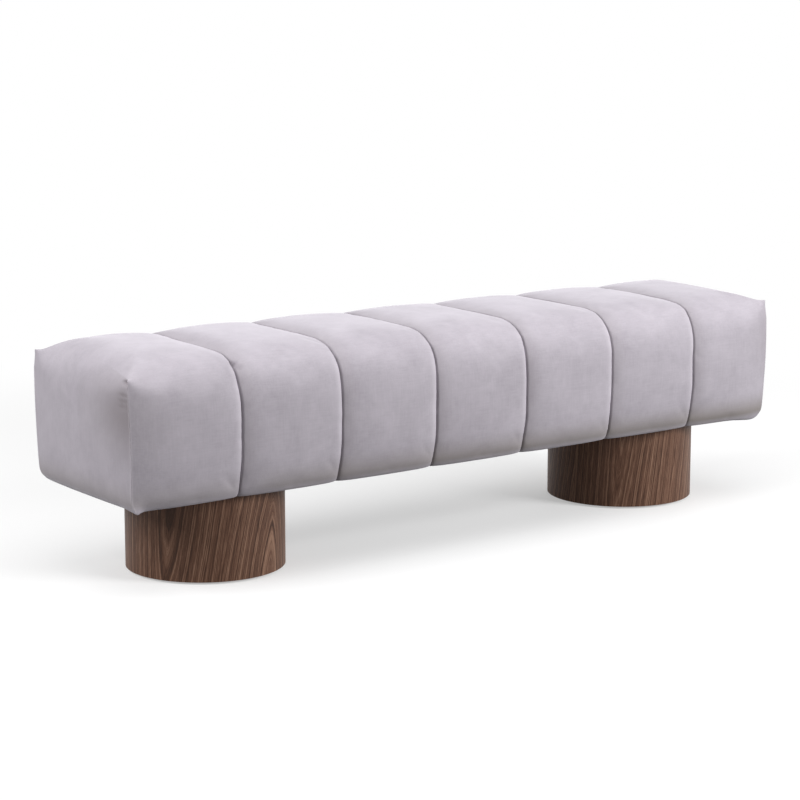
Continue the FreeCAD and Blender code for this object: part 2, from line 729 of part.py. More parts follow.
def build_drum(side, x, cleat):
    """One drum with its bolts and glides, round an upright axis at X."""
    drum = f"{side}_drum"
    floor = "sizes.glide_height"
    veneer = disc(f"{drum}_veneer", "sizes.drum_height", "sizes.drum_diameter / 2", WALL_OUTSIDE)
    place(keep(veneer), x, z=floor)
    wall = disc(f"{drum}_wall", "sizes.drum_height", WALL_OUTSIDE, WALL_INSIDE)
    place(keep(wall), x, z=floor)

    bolt_holes = (BOLT_REACH, BOLT_HOLE, "sizes.top_plate_thickness", BOLT_COUNT)
    plate = disc(f"{drum}_top_plate", "sizes.top_plate_thickness", WALL_INSIDE, holes=bolt_holes)
    place(keep(plate), x, z=PLATE_BOTTOM, turn=BOLT_TURN)

    pin_depth = "(sizes.glide_pin_length + sizes.fit_clearance)"
    pin_holes = (GLIDE_REACH, PIN_HOLE, pin_depth, GLIDE_COUNT)
    bore = f"({WALL_INSIDE} - sizes.base_ring_width)"
    ring = disc(f"{drum}_base_ring", "sizes.base_ring_thickness", WALL_INSIDE, bore, pin_holes)
    place(keep(ring), x, z=floor, turn=BOLT_TURN)

    turns = [360 * i / CLEAT_COUNT for i in range(CLEAT_COUNT)]
    keep(copies(f"{drum}_cleats", cleat, [facing(value(x), 0, 0, UPRIGHT, turn) for turn in turns]))

    for name, profile in bolt_profiles().items():
        place(keep(turned(f"{drum}_{name}", profile, BOLT_REACH, BOLT_COUNT)), x, turn=BOLT_TURN)
    place(keep(turned(f"{drum}_glides", glide_profile(), GLIDE_REACH, GLIDE_COUNT)), x, turn=BOLT_TURN)


def build_dust_cover(bolt_holes, staple_holes):
    cloth = centred_block("dust_blank", DUST_END, DUST_SIDE, UNDERSIDE, "sizes.cloth_thickness")
    keep(cut("dust_cover", cloth, bolt_holes["dust_cover"], staple_holes))


def build():
    top_foam = build_top_foam()
    build_side_foam()
    build_cover(top_foam)
    holes = build_screws()
    bolt_holes = {
        "base_board": bolt_drills("base_board", TEE_HOLE, BOARD_BOTTOM, "sizes.board_thickness"),
        "dust_cover": bolt_drills("dust_cover", BOLT_HOLE, UNDERSIDE, "sizes.cloth_thickness"),
    }
    staple_holes = copies("staple_slots", staple("staple_slot", "sizes.fit_clearance"), staple_places())
    keep(copies("dust_cover_staples", staple("staple", "0"), staple_places()))
    build_frame(holes, bolt_holes, staple_holes)
    build_corner_blocks()
    cleat = build_cleat()
    for side, x in DRUMS.items():
        build_drum(side, x, cleat)
    build_dust_cover(bolt_holes, staple_holes)
    doc.recompute()


def check():
    for obj in doc.Objects:
        if "Invalid" in obj.State or "Error" in obj.State:
            raise RuntimeError(f"{obj.Label} failed: {obj.State}")
    for part in parts:
        if part.Shape.isNull() or not part.Shape.isValid() or not part.Shape.Solids:
            raise RuntimeError(f"{part.Label} has no valid solid")


def write():
    os.makedirs("parts", exist_ok=True)
    for part in parts:
        part.Shape.exportStep(f"parts/{part.Label}.step")
        print(f"{part.Label}: {len(part.Shape.Solids)} solid(s), {part.Shape.Volume / 1000:.1f} cm3")
    print(f"{len(parts)} sub-parts")


build()
check()
write()
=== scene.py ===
# %% [markdown]
# # Upholstered dining bench
#
# A long seat of seven sewn velvet channels stands on two walnut drums. The construction comes from the
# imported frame: this lesson dresses it. The soft seat is modelled again as cloth, the drums and the hidden
# pieces keep their solids and get finishes.

# %% Load the frame
import json
import math

import bpy
import numpy as np
from mathutils import Matrix, Vector


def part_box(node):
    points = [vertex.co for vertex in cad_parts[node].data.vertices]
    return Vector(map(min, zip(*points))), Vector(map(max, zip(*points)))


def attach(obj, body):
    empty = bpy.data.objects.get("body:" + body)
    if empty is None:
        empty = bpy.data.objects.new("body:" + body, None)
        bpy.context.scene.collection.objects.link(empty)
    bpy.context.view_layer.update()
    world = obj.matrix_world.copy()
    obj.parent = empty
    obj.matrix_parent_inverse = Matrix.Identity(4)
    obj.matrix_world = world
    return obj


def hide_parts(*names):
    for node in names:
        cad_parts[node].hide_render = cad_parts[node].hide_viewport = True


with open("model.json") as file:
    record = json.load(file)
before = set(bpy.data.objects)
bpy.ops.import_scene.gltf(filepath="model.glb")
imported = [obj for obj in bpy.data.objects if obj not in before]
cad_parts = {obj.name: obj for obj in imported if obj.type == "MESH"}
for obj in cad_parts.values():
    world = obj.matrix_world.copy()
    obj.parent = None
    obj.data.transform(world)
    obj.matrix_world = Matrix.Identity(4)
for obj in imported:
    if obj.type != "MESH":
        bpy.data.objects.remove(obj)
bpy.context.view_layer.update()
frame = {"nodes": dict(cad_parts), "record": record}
nodes = frame["nodes"]
MM = 0.001

# %% [markdown]
# ## Camera
#
# A product shot is taken from far away with a long lens, so that the bench hardly tapers. The angle, the
# distance and the lens were worked out from the corner seams and the drums in the picture, so the same
# edges land on the same pixels. The camera is placed by its own three axes: right, up and back.

# %% Set the camera
FRAME_PX = 800
FOCAL_PX = 2505.9
SENSOR_MM = 36
AZIMUTH, ELEVATION = math.radians(-35.818), math.radians(10.946)
DISTANCE = 5203 * MM
AIM_RIGHT, AIM_UP = -50.1 * MM, 261.5 * MM

back = Vector((
    math.sin(AZIMUTH) * math.cos(ELEVATION),
    -math.cos(AZIMUTH) * math.cos(ELEVATION),
    math.sin(ELEVATION),
))
right = Vector((math.cos(AZIMUTH), math.sin(AZIMUTH), 0))
up = back.cross(right)

lens = bpy.data.cameras.new("camera")
lens.sensor_fit = "HORIZONTAL"
lens.sensor_width = SENSOR_MM
lens.lens = FOCAL_PX / FRAME_PX * SENSOR_MM
camera = bpy.data.objects.new("camera", lens)
bpy.context.scene.collection.objects.link(camera)
axes = Matrix((right, up, back)).transposed().to_4x4()
camera.matrix_world = Matrix.Translation(right * AIM_RIGHT + up * AIM_UP + back * DISTANCE) @ axes
bpy.context.scene.camera = camera
print("camera:", round(lens.lens, 1), "mm lens at", [round(v, 3) for v in camera.location])

# %% [markdown]
# ## Helpers for finishes
#
# Every finish is a tree of shader nodes. Colours are written as the sRGB hex values that a colour picker
# shows and turned to linear light once. One function adds a node with its settings and links. Its way of
# filling inputs also serves the shader at the end of each finish.

# %% Finish helpers
def linear(hex_colour):
    """sRGB hex to linear RGBA."""
    channels = [int(hex_colour[i:i + 2], 16) / 255 for i in (1, 3, 5)]
    return [c / 12.92 if c <= 0.04045 else ((c + 0.055) / 1.055) ** 2.4 for c in channels] + [1]


def fill(tree, node, inputs):
    """Sets a node's inputs: another node's socket is linked, anything else is a constant."""
    for name, source in inputs.items():
        if isinstance(source, bpy.types.NodeSocket):
            tree.links.new(source, node.inputs[name])
        else:
            node.inputs[name].default_value = source


def add(tree, kind, inputs=None, stops=(), **settings):
    """Adds a node with its settings and inputs. Stops are the colours or greys of a ramp."""
    made = tree.nodes.new(kind)
    for name, setting in settings.items():
        setattr(made, name, setting)
    fill(tree, made, inputs or {})
    for number, (position, colour) in enumerate(stops):
        elements = made.color_ramp.elements
        element = elements[number] if number < 2 else elements.new(position)
        element.position = position
        element.color = linear(colour) if isinstance(colour, str) else (colour, colour, colour, 1)
    return made


def start_finish(name):
    """A new material: its tree, its Principled shader joined to the output, and Object coordinates."""
    finish = bpy.data.materials.new(name)
    finish.use_nodes = True
    tree = finish.node_tree
    tree.nodes.clear()
    shader = add(tree, "ShaderNodeBsdfPrincipled")
    add(tree, "ShaderNodeOutputMaterial", {"Surface": shader.outputs["BSDF"]})
    place = add(tree, "ShaderNodeTexCoord").outputs["Object"]
    return finish, tree, shader, place


def per_metre(size_mm):
    """Texture scale that repeats once in so many millimetres."""
    return 1 / (size_mm * MM)


def dress(piece, finish):
    """Gives a piece that one finish."""
    piece.data.materials.clear()
    piece.data.materials.append(finish)


print("finish helpers ready")

# %% [markdown]
# ## Velvet
# Polyester velvet has a short dense pile. Light that grazes the pile catches the fibre tips, so edges and
# the flat top shine pale while faces seen straight on stay deeper: that is the sheen layer over a rough
# base. Where a hand brushed the pile it leans another way, which leaves soft cloudy patches. Shade and
# highlights are also painted into the colour: painted shade beside the front corner seams, to the right of
# the seams and in the folds, darker and warmer painted shade along the foot, and a painted highlight on the
# lip of a seam and on the corner ridges. Each panel stores all three in attributes of its mesh. The woven
# ground shows as a very fine grain, drawn coarser than life so that it shows at all.

# %% Velvet finish
PILE_PATCH_MM = 95
PILE_STREAK_MM = 22
GROUND_THREAD_MM = 2.4
THREAD_SQUEEZE = 0.06
# Painted shade, painted foot shade and painted highlight, each mixed into the velvet by a panel attribute
PAINTED_LIGHT_TONES = (("painted_shade", "#8a8387"), ("painted_foot_shade", "#807972"), ("painted_highlight", "#d4ced6"))


def velvet_finish():
    """Cloudy pile over a fine weave of warp and weft, with sheen, painted shade and painted highlights."""
    finish, tree, shader, place = start_finish("velvet_polyester_mauve")
    patches = add(tree, "ShaderNodeTexNoise", {
        "Vector": place, "Scale": per_metre(PILE_PATCH_MM),
        "Detail": 3, "Roughness": 0.55, "Distortion": 0.6}).outputs["Fac"]
    streaks = add(tree, "ShaderNodeTexNoise", {
        "Vector": place, "Scale": per_metre(PILE_STREAK_MM), "Detail": 4, "Roughness": 0.6}).outputs["Fac"]
    yarns = []
    for squeeze in ((1, 1, THREAD_SQUEEZE), (THREAD_SQUEEZE, 1, 1)):
        along = add(tree, "ShaderNodeMapping", {"Vector": place, "Scale": squeeze}).outputs["Vector"]
        yarn = add(tree, "ShaderNodeTexNoise", {
            "Vector": along, "Scale": per_metre(GROUND_THREAD_MM), "Detail": 2, "Roughness": 0.7})
        yarns.append(yarn.outputs["Fac"])
    threads = add(tree, "ShaderNodeMix", {
        "Factor": 0.5, "A": yarns[0], "B": yarns[1]}, data_type="FLOAT").outputs["Result"]
    cloud = add(tree, "ShaderNodeMix", {
        "Factor": 0.35, "A": patches, "B": streaks}, data_type="FLOAT").outputs["Result"]
    grained = add(tree, "ShaderNodeMix", {
        "Factor": 0.4, "A": cloud, "B": threads}, data_type="FLOAT").outputs["Result"]
    colour = add(tree, "ShaderNodeValToRGB", {"Fac": grained}, stops=(
        (0.34, "#a29ca4"), (0.50, "#aea8b0"), (0.66, "#b8b2ba"))).outputs["Color"]
    # Mix in the painted shade and highlights where each panel's attributes ask for them
    for attribute, tone in PAINTED_LIGHT_TONES:
        amount = add(tree, "ShaderNodeAttribute", attribute_name=attribute).outputs["Fac"]
        colour = add(tree, "ShaderNodeMix", {
            "Factor": amount, "A": colour, "B": linear(tone)}, data_type="RGBA").outputs["Result"]
    ground = add(tree, "ShaderNodeBump", {"Height": threads, "Strength": 0.4, "Distance": 0.4 * MM})
    pile = add(tree, "ShaderNodeBump", {
        "Height": streaks, "Normal": ground.outputs["Normal"], "Strength": 0.35, "Distance": 0.8 * MM})
    # Matt and deep seen straight on, pale and silky where the pile is grazed
    fill(tree, shader, {
        "Base Color": colour, "Normal": pile.outputs["Normal"],
        "Roughness": 0.92, "IOR": 1.45, "Specular IOR Level": 0.2,
        "Sheen Weight": 0.42, "Sheen Roughness": 0.45, "Sheen Tint": linear("#f8f5fc")})
    return finish


velvet = velvet_finish()
print("finish:", velvet.name)

# %% [markdown]
# ## Walnut veneer
#
# Veneer is sliced from a log in leaves. Where the knife runs along the growth rings the grain stands
# straight, and where it skims them it draws nested flames. The drum's face is unrolled here into a sheet:
# distance round the drum and height. Long pointed ovals in that sheet are the skimmed rings, the closest one
# wins at each point, and a stretched noise makes them wander. A little diamond in the ellipse gives the oval
# its pointed tip. In the heart of a flame the rings are broad, so the figure is calmer there. Dark pores run
# along the grain, and a satin lacquer gives a soft gloss.

# %% Flames of the veneer
drum_low, drum_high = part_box("left_drum_veneer")
DRUM_RADIUS = (drum_high[1] - drum_low[1]) / 2
WANDER_MM, WANDER_WAVE_MM = 9, 26
GRAIN_LEAN, LEAN_FROM_MM = 0.10, 80
HEART_MM, MERGE_MM = 40, 10
TIP_POINTED = 0.3
DARK_HEART = ((0, -0.12), (9, -0.1), (22, 0.0))
PALE_HEART = ((0, 0.1), (9, 0.1), (22, 0.0))
# Flames: degrees round from the front towards the right, height in mm, height to width, and tones from the
# heart outwards, each at so many mm
FLAMES = {
    "left": [
        (-58, 172, 6.5, (
            (0, -0.28), (14.5, -0.24), (17.5, 0.14), (22, 0.16), (24.5, -0.16), (28.5, -0.1), (33, 0.0))),
        (23, -20, 4.4, ((0, -0.04), (16, 0.0), (19, 0.18), (27, 0.16), (29.5, -0.14), (34, 0.0))),
        (112, 230, 7.0, DARK_HEART), (182, -60, 6.0, PALE_HEART), (-128, -90, 6.0, PALE_HEART)],
    "right": [
        # The front flame of the right drum has a dark heart: veneer figure, and also painted shade of the
        # seat
        (-41, 300, 14.0, ((0, -0.16), (11, -0.12), (14, 0.06), (18, 0.04), (22, 0.0))),
        (48, -330, 9.0, PALE_HEART), (118, 330, 8.0, DARK_HEART),
        (-172, -80, 5.5, PALE_HEART), (-112, 330, 9.0, DARK_HEART)],
}


def draw_flames(tree, sheet, wander, flames):
    """Distance from the closest heart, and how much paler or darker the hearts make the wood."""
    nearest, glow = 1.0, -0.5 * len(flames)
    for degrees, height_mm, tall, tones in flames:
        aside = math.radians(degrees) * DRUM_RADIUS - GRAIN_LEAN * LEAN_FROM_MM * MM
        moved = add(tree, "ShaderNodeVectorMath", {
            0: sheet, 1: (aside, height_mm * MM, 0)}, operation="SUBTRACT").outputs["Vector"]
        squeezed = add(tree, "ShaderNodeVectorMath", {
            0: moved, 1: (1, 1 / tall, 0)}, operation="MULTIPLY").outputs["Vector"]
        ellipse = add(tree, "ShaderNodeVectorMath", {0: squeezed}, operation="LENGTH").outputs["Value"]
        folded = add(tree, "ShaderNodeVectorMath", {0: squeezed}, operation="ABSOLUTE").outputs["Vector"]
        diamond = add(tree, "ShaderNodeVectorMath", {
            0: folded, 1: (TIP_POINTED, TIP_POINTED, 0)}, operation="DOT_PRODUCT").outputs["Value"]
        reach = add(tree, "ShaderNodeMath", {
            0: ellipse, 1: 1 - TIP_POINTED, 2: diamond}, operation="MULTIPLY_ADD").outputs[0]
        nearest = add(tree, "ShaderNodeMath", {
            0: nearest, 1: reach, 2: MERGE_MM * MM}, operation="SMOOTH_MIN").outputs[0]
        uneven = add(tree, "ShaderNodeMath", {
            0: wander, 1: WANDER_MM * MM / 2, 2: reach}, operation="MULTIPLY_ADD").outputs[0]
        from_heart = add(tree, "ShaderNodeMath", {0: uneven, 1: per_metre(HEART_MM)}, operation="MULTIPLY")
        tone = add(tree, "ShaderNodeValToRGB", {"Fac": from_heart.outputs[0]}, stops=[
            (mm / HEART_MM, 0.5 + change) for mm, change in tones]).outputs["Color"]
        glow = add(tree, "ShaderNodeMath", {0: glow, 1: tone}, operation="ADD").outputs[0]
    return nearest, glow


print("flames:", {side: len(flames) for side, flames in FLAMES.items()})

# %% Walnut finish
RING_MM, FINE_RINGS = 9.5, 3.1
PORE_MM, BROAD_MM = 1.3, 45
CALM_MM = 30


def walnut_finish(side):
    """Flames, rings and pores on the unrolled face of one drum, under satin lacquer."""
    finish, tree, shader, place = start_finish(f"walnut_veneer_lacquered_{side}")
    low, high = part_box(f"{side}_drum_veneer")
    centred = add(tree, "ShaderNodeMapping", {
        "Vector": place, "Location": (-(low[0] + high[0]) / 2, 0, 0)}).outputs["Vector"]
    xyz = add(tree, "ShaderNodeSeparateXYZ", {"Vector": centred}).outputs
    forward = add(tree, "ShaderNodeMath", {0: xyz["Y"], 1: -1.0}, operation="MULTIPLY").outputs[0]
    angle = add(tree, "ShaderNodeMath", {0: xyz["X"], 1: forward}, operation="ARCTAN2").outputs[0]
    unrolled = add(tree, "ShaderNodeMath", {0: angle, 1: DRUM_RADIUS}, operation="MULTIPLY").outputs[0]
    leaned = add(tree, "ShaderNodeMath", {
        0: xyz["Z"], 1: -GRAIN_LEAN, 2: unrolled}, operation="MULTIPLY_ADD").outputs[0]
    sheet = add(tree, "ShaderNodeCombineXYZ", {"X": leaned, "Y": xyz["Z"]}).outputs["Vector"]
    slow = add(tree, "ShaderNodeMapping", {"Vector": sheet, "Scale": (1, 0.1, 1)}).outputs["Vector"]
    wander = add(tree, "ShaderNodeTexNoise", {
        "Vector": slow, "Scale": per_metre(WANDER_WAVE_MM), "Detail": 5, "Roughness": 0.58}).outputs["Fac"]
    nearest, glow = draw_flames(tree, sheet, wander, FLAMES[side])
    shifted = add(tree, "ShaderNodeMath", {
        0: wander, 1: WANDER_MM * MM, 2: nearest}, operation="MULTIPLY_ADD").outputs[0]
    ring = add(tree, "ShaderNodeMath", {0: shifted, 1: per_metre(RING_MM)}, operation="MULTIPLY").outputs[0]
    across = add(tree, "ShaderNodeCombineXYZ", {"X": ring}).outputs["Vector"]
    bands = add(tree, "ShaderNodeTexNoise", {
        "Vector": across, "Scale": 1.0, "Detail": 2, "Roughness": 0.6}).outputs["Fac"]
    lines = add(tree, "ShaderNodeTexNoise", {
        "Vector": across, "Scale": FINE_RINGS, "Detail": 3, "Roughness": 0.65}).outputs["Fac"]
    along = add(tree, "ShaderNodeMapping", {"Vector": sheet, "Scale": (1, 0.03, 1)}).outputs["Vector"]
    pores = add(tree, "ShaderNodeTexNoise", {
        "Vector": along, "Scale": per_metre(PORE_MM), "Detail": 3, "Roughness": 0.7}).outputs["Fac"]
    broad = add(tree, "ShaderNodeTexNoise", {
        "Vector": along, "Scale": per_metre(BROAD_MM), "Detail": 1}).outputs["Fac"]
    figure = add(tree, "ShaderNodeMapRange", {
        "Value": bands, "From Min": 0.3, "From Max": 0.7}).outputs["Result"]
    crisp = add(tree, "ShaderNodeMapRange", {
        "Value": lines, "From Min": 0.40, "From Max": 0.60},
        interpolation_type="SMOOTHSTEP").outputs["Result"]
    open_pores = add(tree, "ShaderNodeMapRange", {
        "Value": pores, "From Min": 0.35, "From Max": 0.6}).outputs["Result"]
    calm = add(tree, "ShaderNodeMapRange", {
        "Value": nearest, "From Max": CALM_MM * MM, "To Min": 0.55, "To Max": 0.0}).outputs["Result"]
    for share, other in ((0.52, crisp), (calm, 0.5), (0.2, broad), (0.26, open_pores)):
        figure = add(tree, "ShaderNodeMix", {
            "Factor": share, "A": figure, "B": other}, data_type="FLOAT").outputs["Result"]
    whole = add(tree, "ShaderNodeMath", {0: figure, 1: glow}, operation="ADD").outputs[0]
    colour = add(tree, "ShaderNodeValToRGB", {"Fac": whole}, stops=(
        (0.20, "#342218"), (0.37, "#4b3327"), (0.50, "#5e4234"), (0.61, "#705242"), (0.78, "#8d6e5b")))
    relief = add(tree, "ShaderNodeBump", {"Height": pores, "Strength": 0.15, "Distance": 0.2 * MM})
    gloss = add(tree, "ShaderNodeMapRange", {"Value": pores, "To Min": 0.55, "To Max": 0.44})
    # Thin satin lacquer: a broad weak gloss, and the pores still show
    fill(tree, shader, {
        "Base Color": colour.outputs["Color"], "Roughness": gloss.outputs["Result"],
        "Normal": relief.outputs["Normal"], "IOR": 1.5, "Specular IOR Level": 0.18})
    return finish


walnut = {side: walnut_finish(side) for side in FLAMES}
print("finish:", [finish.name for finish in walnut.values()])

# %% [markdown]
# ## Hidden timber, foam, steel and plastic
#
# Nobody sees these until the bench is turned over or taken apart, but each still has its own material:
# planed pine, birch plywood with its layers, open-cell foam, polyester wadding, zinc-plated steel, moulded
# nylon and spunbond fleece. Pine, foam, wadding and nylon each show one pattern, so one function makes
# them. The layers of the flat boards lie one above the other, and those of the bent drum walls lie round the
# drum's axis.

# %% Finishes of one pattern
WADDING_FIBRE_MM, FOAM_CELL_MM, PINE_RING_MM, SPARK_MM = 3, 1.2, 5, 0.8
NOISE, CELLS = ("ShaderNodeTexNoise", "Fac"), ("ShaderNodeTexVoronoi", "Distance")


def one_pattern_finish(name, pattern, settings, stretch, stops, relief, roughness):
    """A finish whose colour and relief come from one pattern. Relief is a strength and a depth."""
    finish, tree, shader, place = start_finish(name)
    kind, reading = pattern
    drawn = add(tree, "ShaderNodeMapping", {"Vector": place, "Scale": stretch}).outputs["Vector"]
    tone = add(tree, kind, {"Vector": drawn, **settings}).outputs[reading]
    colour = add(tree, "ShaderNodeValToRGB", {"Fac": tone}, stops=stops)
    bump = add(tree, "ShaderNodeBump", {"Height": tone, "Strength": relief[0], "Distance": relief[1]})
    fill(tree, shader, {
        "Base Color": colour.outputs["Color"], "Normal": bump.outputs["Normal"], "Roughness": roughness})
    return finish


slot_finishes = {
    "velvet": velvet,
    # Carded fleece of white fibres: fluffy, with no gloss
    "wadding": one_pattern_finish(
        "polyester_wadding_carded", NOISE,
        {"Scale": per_metre(WADDING_FIBRE_MM), "Detail": 5, "Distortion": 1.0}, (0.2, 1, 1),
        ((0.3, "#dcdcd9"), (0.7, "#f1f1ee")), relief=(0.6, 1 * MM), roughness=0.95),
    # Cut open cells: a dull, slightly pitted cream
    "foam": one_pattern_finish(
        "polyurethane_foam", CELLS, {"Scale": per_metre(FOAM_CELL_MM)}, (1, 1, 1),
        ((0.0, "#d6c48f"), (0.6, "#efe3bd")), relief=(0.5, 0.4 * MM), roughness=0.95),
    # Planed and bare: warm yellow stripes with hardly any gloss
    "pine": one_pattern_finish(
        "pine_planed", NOISE,
        {"Scale": per_metre(PINE_RING_MM), "Detail": 4, "Distortion": 0.5}, (0.06, 0.35, 1),
        ((0.35, "#b98f5c"), (0.5, "#d9b683"), (0.65, "#e6cb9f")), relief=(0.2, 0.3 * MM), roughness=0.62),
    # Moulded in a spark-eroded tool: an even dark satin
    "nylon": one_pattern_finish(
        "nylon_moulded", NOISE, {"Scale": per_metre(SPARK_MM), "Detail": 2}, (1, 1, 1),
        ((0.3, "#2b2826"), (0.7, "#3a3633")), relief=(0.2, 0.1 * MM), roughness=0.5),
}
print("finishes:", ", ".join(slot_finishes))

# %% Plywood finish
PLY_MM, PLY_GRAIN_MM = 1.5, 6
DRUM_PLACE = -(drum_low[0] + drum_high[0]) / 2


def plywood_finish(name, bent):
    """Birch plywood, its layers flat or bent round the drum's axis."""
    finish, tree, shader, place = start_finish(name)
    xyz = add(tree, "ShaderNodeSeparateXYZ", {"Vector": place}).outputs
    depth = xyz["Z"]
    if bent:
        aside = add(tree, "ShaderNodeMath", {0: xyz["X"]}, operation="ABSOLUTE").outputs[0]
        from_axis = add(tree, "ShaderNodeMath", {0: aside, 1: DRUM_PLACE}, operation="SUBTRACT").outputs[0]
        spoke = add(tree, "ShaderNodeCombineXYZ", {"X": from_axis, "Y": xyz["Y"]}).outputs["Vector"]
        depth = add(tree, "ShaderNodeVectorMath", {0: spoke}, operation="LENGTH").outputs["Value"]
    layer = add(tree, "ShaderNodeMath", {0: depth, 1: 2 * PLY_MM * MM}, operation="PINGPONG").outputs[0]
    which = add(tree, "ShaderNodeMath", {0: layer, 1: PLY_MM * MM}, operation="GREATER_THAN").outputs[0]
    drawn = add(tree, "ShaderNodeMapping", {"Vector": place, "Scale": (0.08, 1, 1)}).outputs["Vector"]
    grain = add(tree, "ShaderNodeTexNoise", {
        "Vector": drawn, "Scale": per_metre(PLY_GRAIN_MM), "Detail": 4, "Roughness": 0.6}).outputs["Fac"]
    pale = add(tree, "ShaderNodeValToRGB", {"Fac": grain}, stops=((0.3, "#c4a377"), (0.7, "#dcc298")))
    deep = add(tree, "ShaderNodeValToRGB", {"Fac": grain}, stops=((0.3, "#a27d50"), (0.7, "#bd986a")))
    colour = add(tree, "ShaderNodeMix", {
        "Factor": which, "A": pale.outputs["Color"], "B": deep.outputs["Color"]}, data_type="RGBA")
    # Sanded: pale faces, and edges striped by the layers
    fill(tree, shader, {"Base Color": colour.outputs["Result"], "Roughness": 0.6})
    return finish


slot_finishes["plywood"] = plywood_finish("birch_plywood_sanded", bent=False)
bent_plywood = plywood_finish("birch_plywood_bent", bent=True)
print("finish:", bent_plywood.name)

# %% Zinc and fleece finishes
ZINC_SPANGLE_MM = 1.5
FLEECE_FIBRE_MM, FLEECE_BOND_MM = 1.4, 2.2


def zinc_finish():
    """Steel under a thin coat of zinc."""
    finish, tree, shader, place = start_finish("zinc_plated_steel")
    spangle = add(tree, "ShaderNodeTexNoise", {
        "Vector": place, "Scale": per_metre(ZINC_SPANGLE_MM), "Detail": 3}).outputs["Fac"]
    colour = add(tree, "ShaderNodeValToRGB", {"Fac": spangle}, stops=((0.3, "#a9abad"), (0.7, "#c9cbcc")))
    gloss = add(tree, "ShaderNodeMapRange", {"Value": spangle, "To Min": 0.28, "To Max": 0.42})
    # Electroplated: a bluish metal gloss, slightly cloudy
    fill(tree, shader, {
        "Base Color": colour.outputs["Color"], "Roughness": gloss.outputs["Result"], "Metallic": 1.0})
    return finish


def dust_cloth_finish():
    """Thin black fleece for the underside."""
    finish, tree, shader, place = start_finish("spunbond_polypropylene_black")
    fibres = add(tree, "ShaderNodeTexNoise", {
        "Vector": place, "Scale": per_metre(FLEECE_FIBRE_MM), "Detail": 4, "Roughness": 0.7}).outputs["Fac"]
    bonds = add(tree, "ShaderNodeTexVoronoi", {"Vector": place, "Scale": per_metre(FLEECE_BOND_MM)})
    colour = add(tree, "ShaderNodeValToRGB", {"Fac": fibres}, stops=((0.3, "#161617"), (0.7, "#2c2c2e")))
    relief = add(tree, "ShaderNodeBump", {
        "Height": bonds.outputs["Distance"], "Strength": 0.4, "Distance": 0.2 * MM})
    # Fleece bonded in small dots: dull black with a faint pattern
    fill(tree, shader, {
        "Base Color": colour.outputs["Color"], "Normal": relief.outputs["Normal"], "Roughness": 0.85})
    return finish


slot_finishes["steel"] = zinc_finish()
slot_finishes["dust_cloth"] = dust_cloth_finish()
print("finishes:", slot_finishes["steel"].name, slot_finishes["dust_cloth"].name)

# %% Dress the nodes
slots = {part["node"]: part["material_slot"] for part in frame["record"]["subparts"]}
for name, piece in nodes.items():
    finish = slot_finishes.get(slots[name]) or walnut[name.split("_")[0]]
    if name.endswith("drum_wall"):
        finish = bent_plywood
    dress(piece, finish)
print("finished", len(nodes), "nodes in", len(slot_finishes) + len(walnut) + 1, "materials")

# %% [markdown]
# ## Sewn channels
#
# The cover is sewn from seven panels. Each is stuffed against its neighbours, so it crowns between its
# seams and rolls into them. A panel starts as a cube that is cut into a net, and the net is then laid on the
# sewn form: rounded from front to top to back, drawn in at the seams and under at the hem. Cutting first and
# shaping afterwards keeps the quads even, so the shading stays as smooth as cloth.

# %% Sizes of the seat
middle_low, middle_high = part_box("velvet_channel_3")
PITCH = middle_high[0] - middle_low[0]
CREST_SIDE = middle_high[1]
CREST_TOP = middle_high[2]
UNDERSIDE = middle_low[2]
SEAT_HEIGHT = CREST_TOP - UNDERSIDE
print("channel pitch", round(PITCH / MM, 1), "mm, crest", round(CREST_TOP / MM, 1), "mm high")

# %% Cut a cube into a net
CUTS_ACROSS, CUTS_DEEP, CUTS_HIGH = 31, 47, 37
END_CUTS_HIGH = 57


def deselect():
    """Leaves edit mode and selects nothing."""
    if bpy.context.object and bpy.context.object.mode != "OBJECT":
        bpy.ops.object.mode_set(mode="OBJECT")
    bpy.ops.object.select_all(action="DESELECT")


def pick(piece):
    """Selects that piece alone and makes it active."""
    deselect()
    piece.select_set(True)
    bpy.context.view_layer.objects.active = piece


def start_selection(kind):
    """Sets what kind of element is selected in the active piece, and selects none."""
    bpy.ops.object.mode_set(mode="EDIT")
    bpy.ops.mesh.select_mode(type=kind)
    bpy.ops.mesh.select_all(action="DESELECT")
    bpy.ops.object.mode_set(mode="OBJECT")


def select_edges(piece, wanted):
    """Selects the edges that are wanted, by their two ends, and stays in edit mode."""
    start_selection("EDGE")
    for edge in piece.data.edges:
        edge.select = bool(wanted(*edge.vertices))
    bpy.ops.object.mode_set(mode="EDIT")


def cut_cube(name, cuts_high):
    """A cube from 0 to 1 along X and Z and from -1 to 1 along Y, cut into an even net."""
    deselect()
    bpy.ops.mesh.primitive_cube_add(size=1, location=(0.5, 0, 0.5))
    piece = bpy.context.object
    piece.name = piece.data.name = name
    piece.scale = (1, 2, 1)
    bpy.ops.object.transform_apply(location=True, rotation=True, scale=True)
    for axis, cuts in enumerate((CUTS_ACROSS, CUTS_DEEP, cuts_high)):
        spots = [spot.co.copy() for spot in piece.data.vertices]

        def runs_along(one, other):
            run = spots[other] - spots[one]
            return abs(run[axis]) > 0.9 * run.length

        select_edges(piece, runs_along)
        bpy.ops.mesh.subdivide(number_cuts=cuts)
        bpy.ops.object.mode_set(mode="OBJECT")
    return piece


def read_points(piece):
    """The places of a piece's vertices, one row each."""
    points = np.empty(len(piece.data.vertices) * 3)
    piece.data.vertices.foreach_get("co", points)
    return points.reshape(-1, 3)


def write_points(piece, points):
    """Moves a piece's vertices to those places."""
    piece.data.vertices.foreach_set("co", np.ascontiguousarray(points, dtype=np.float32).ravel())
    piece.data.update()


print("net cells:", CUTS_ACROSS + 1, "across,", CUTS_DEEP + 1, "deep")

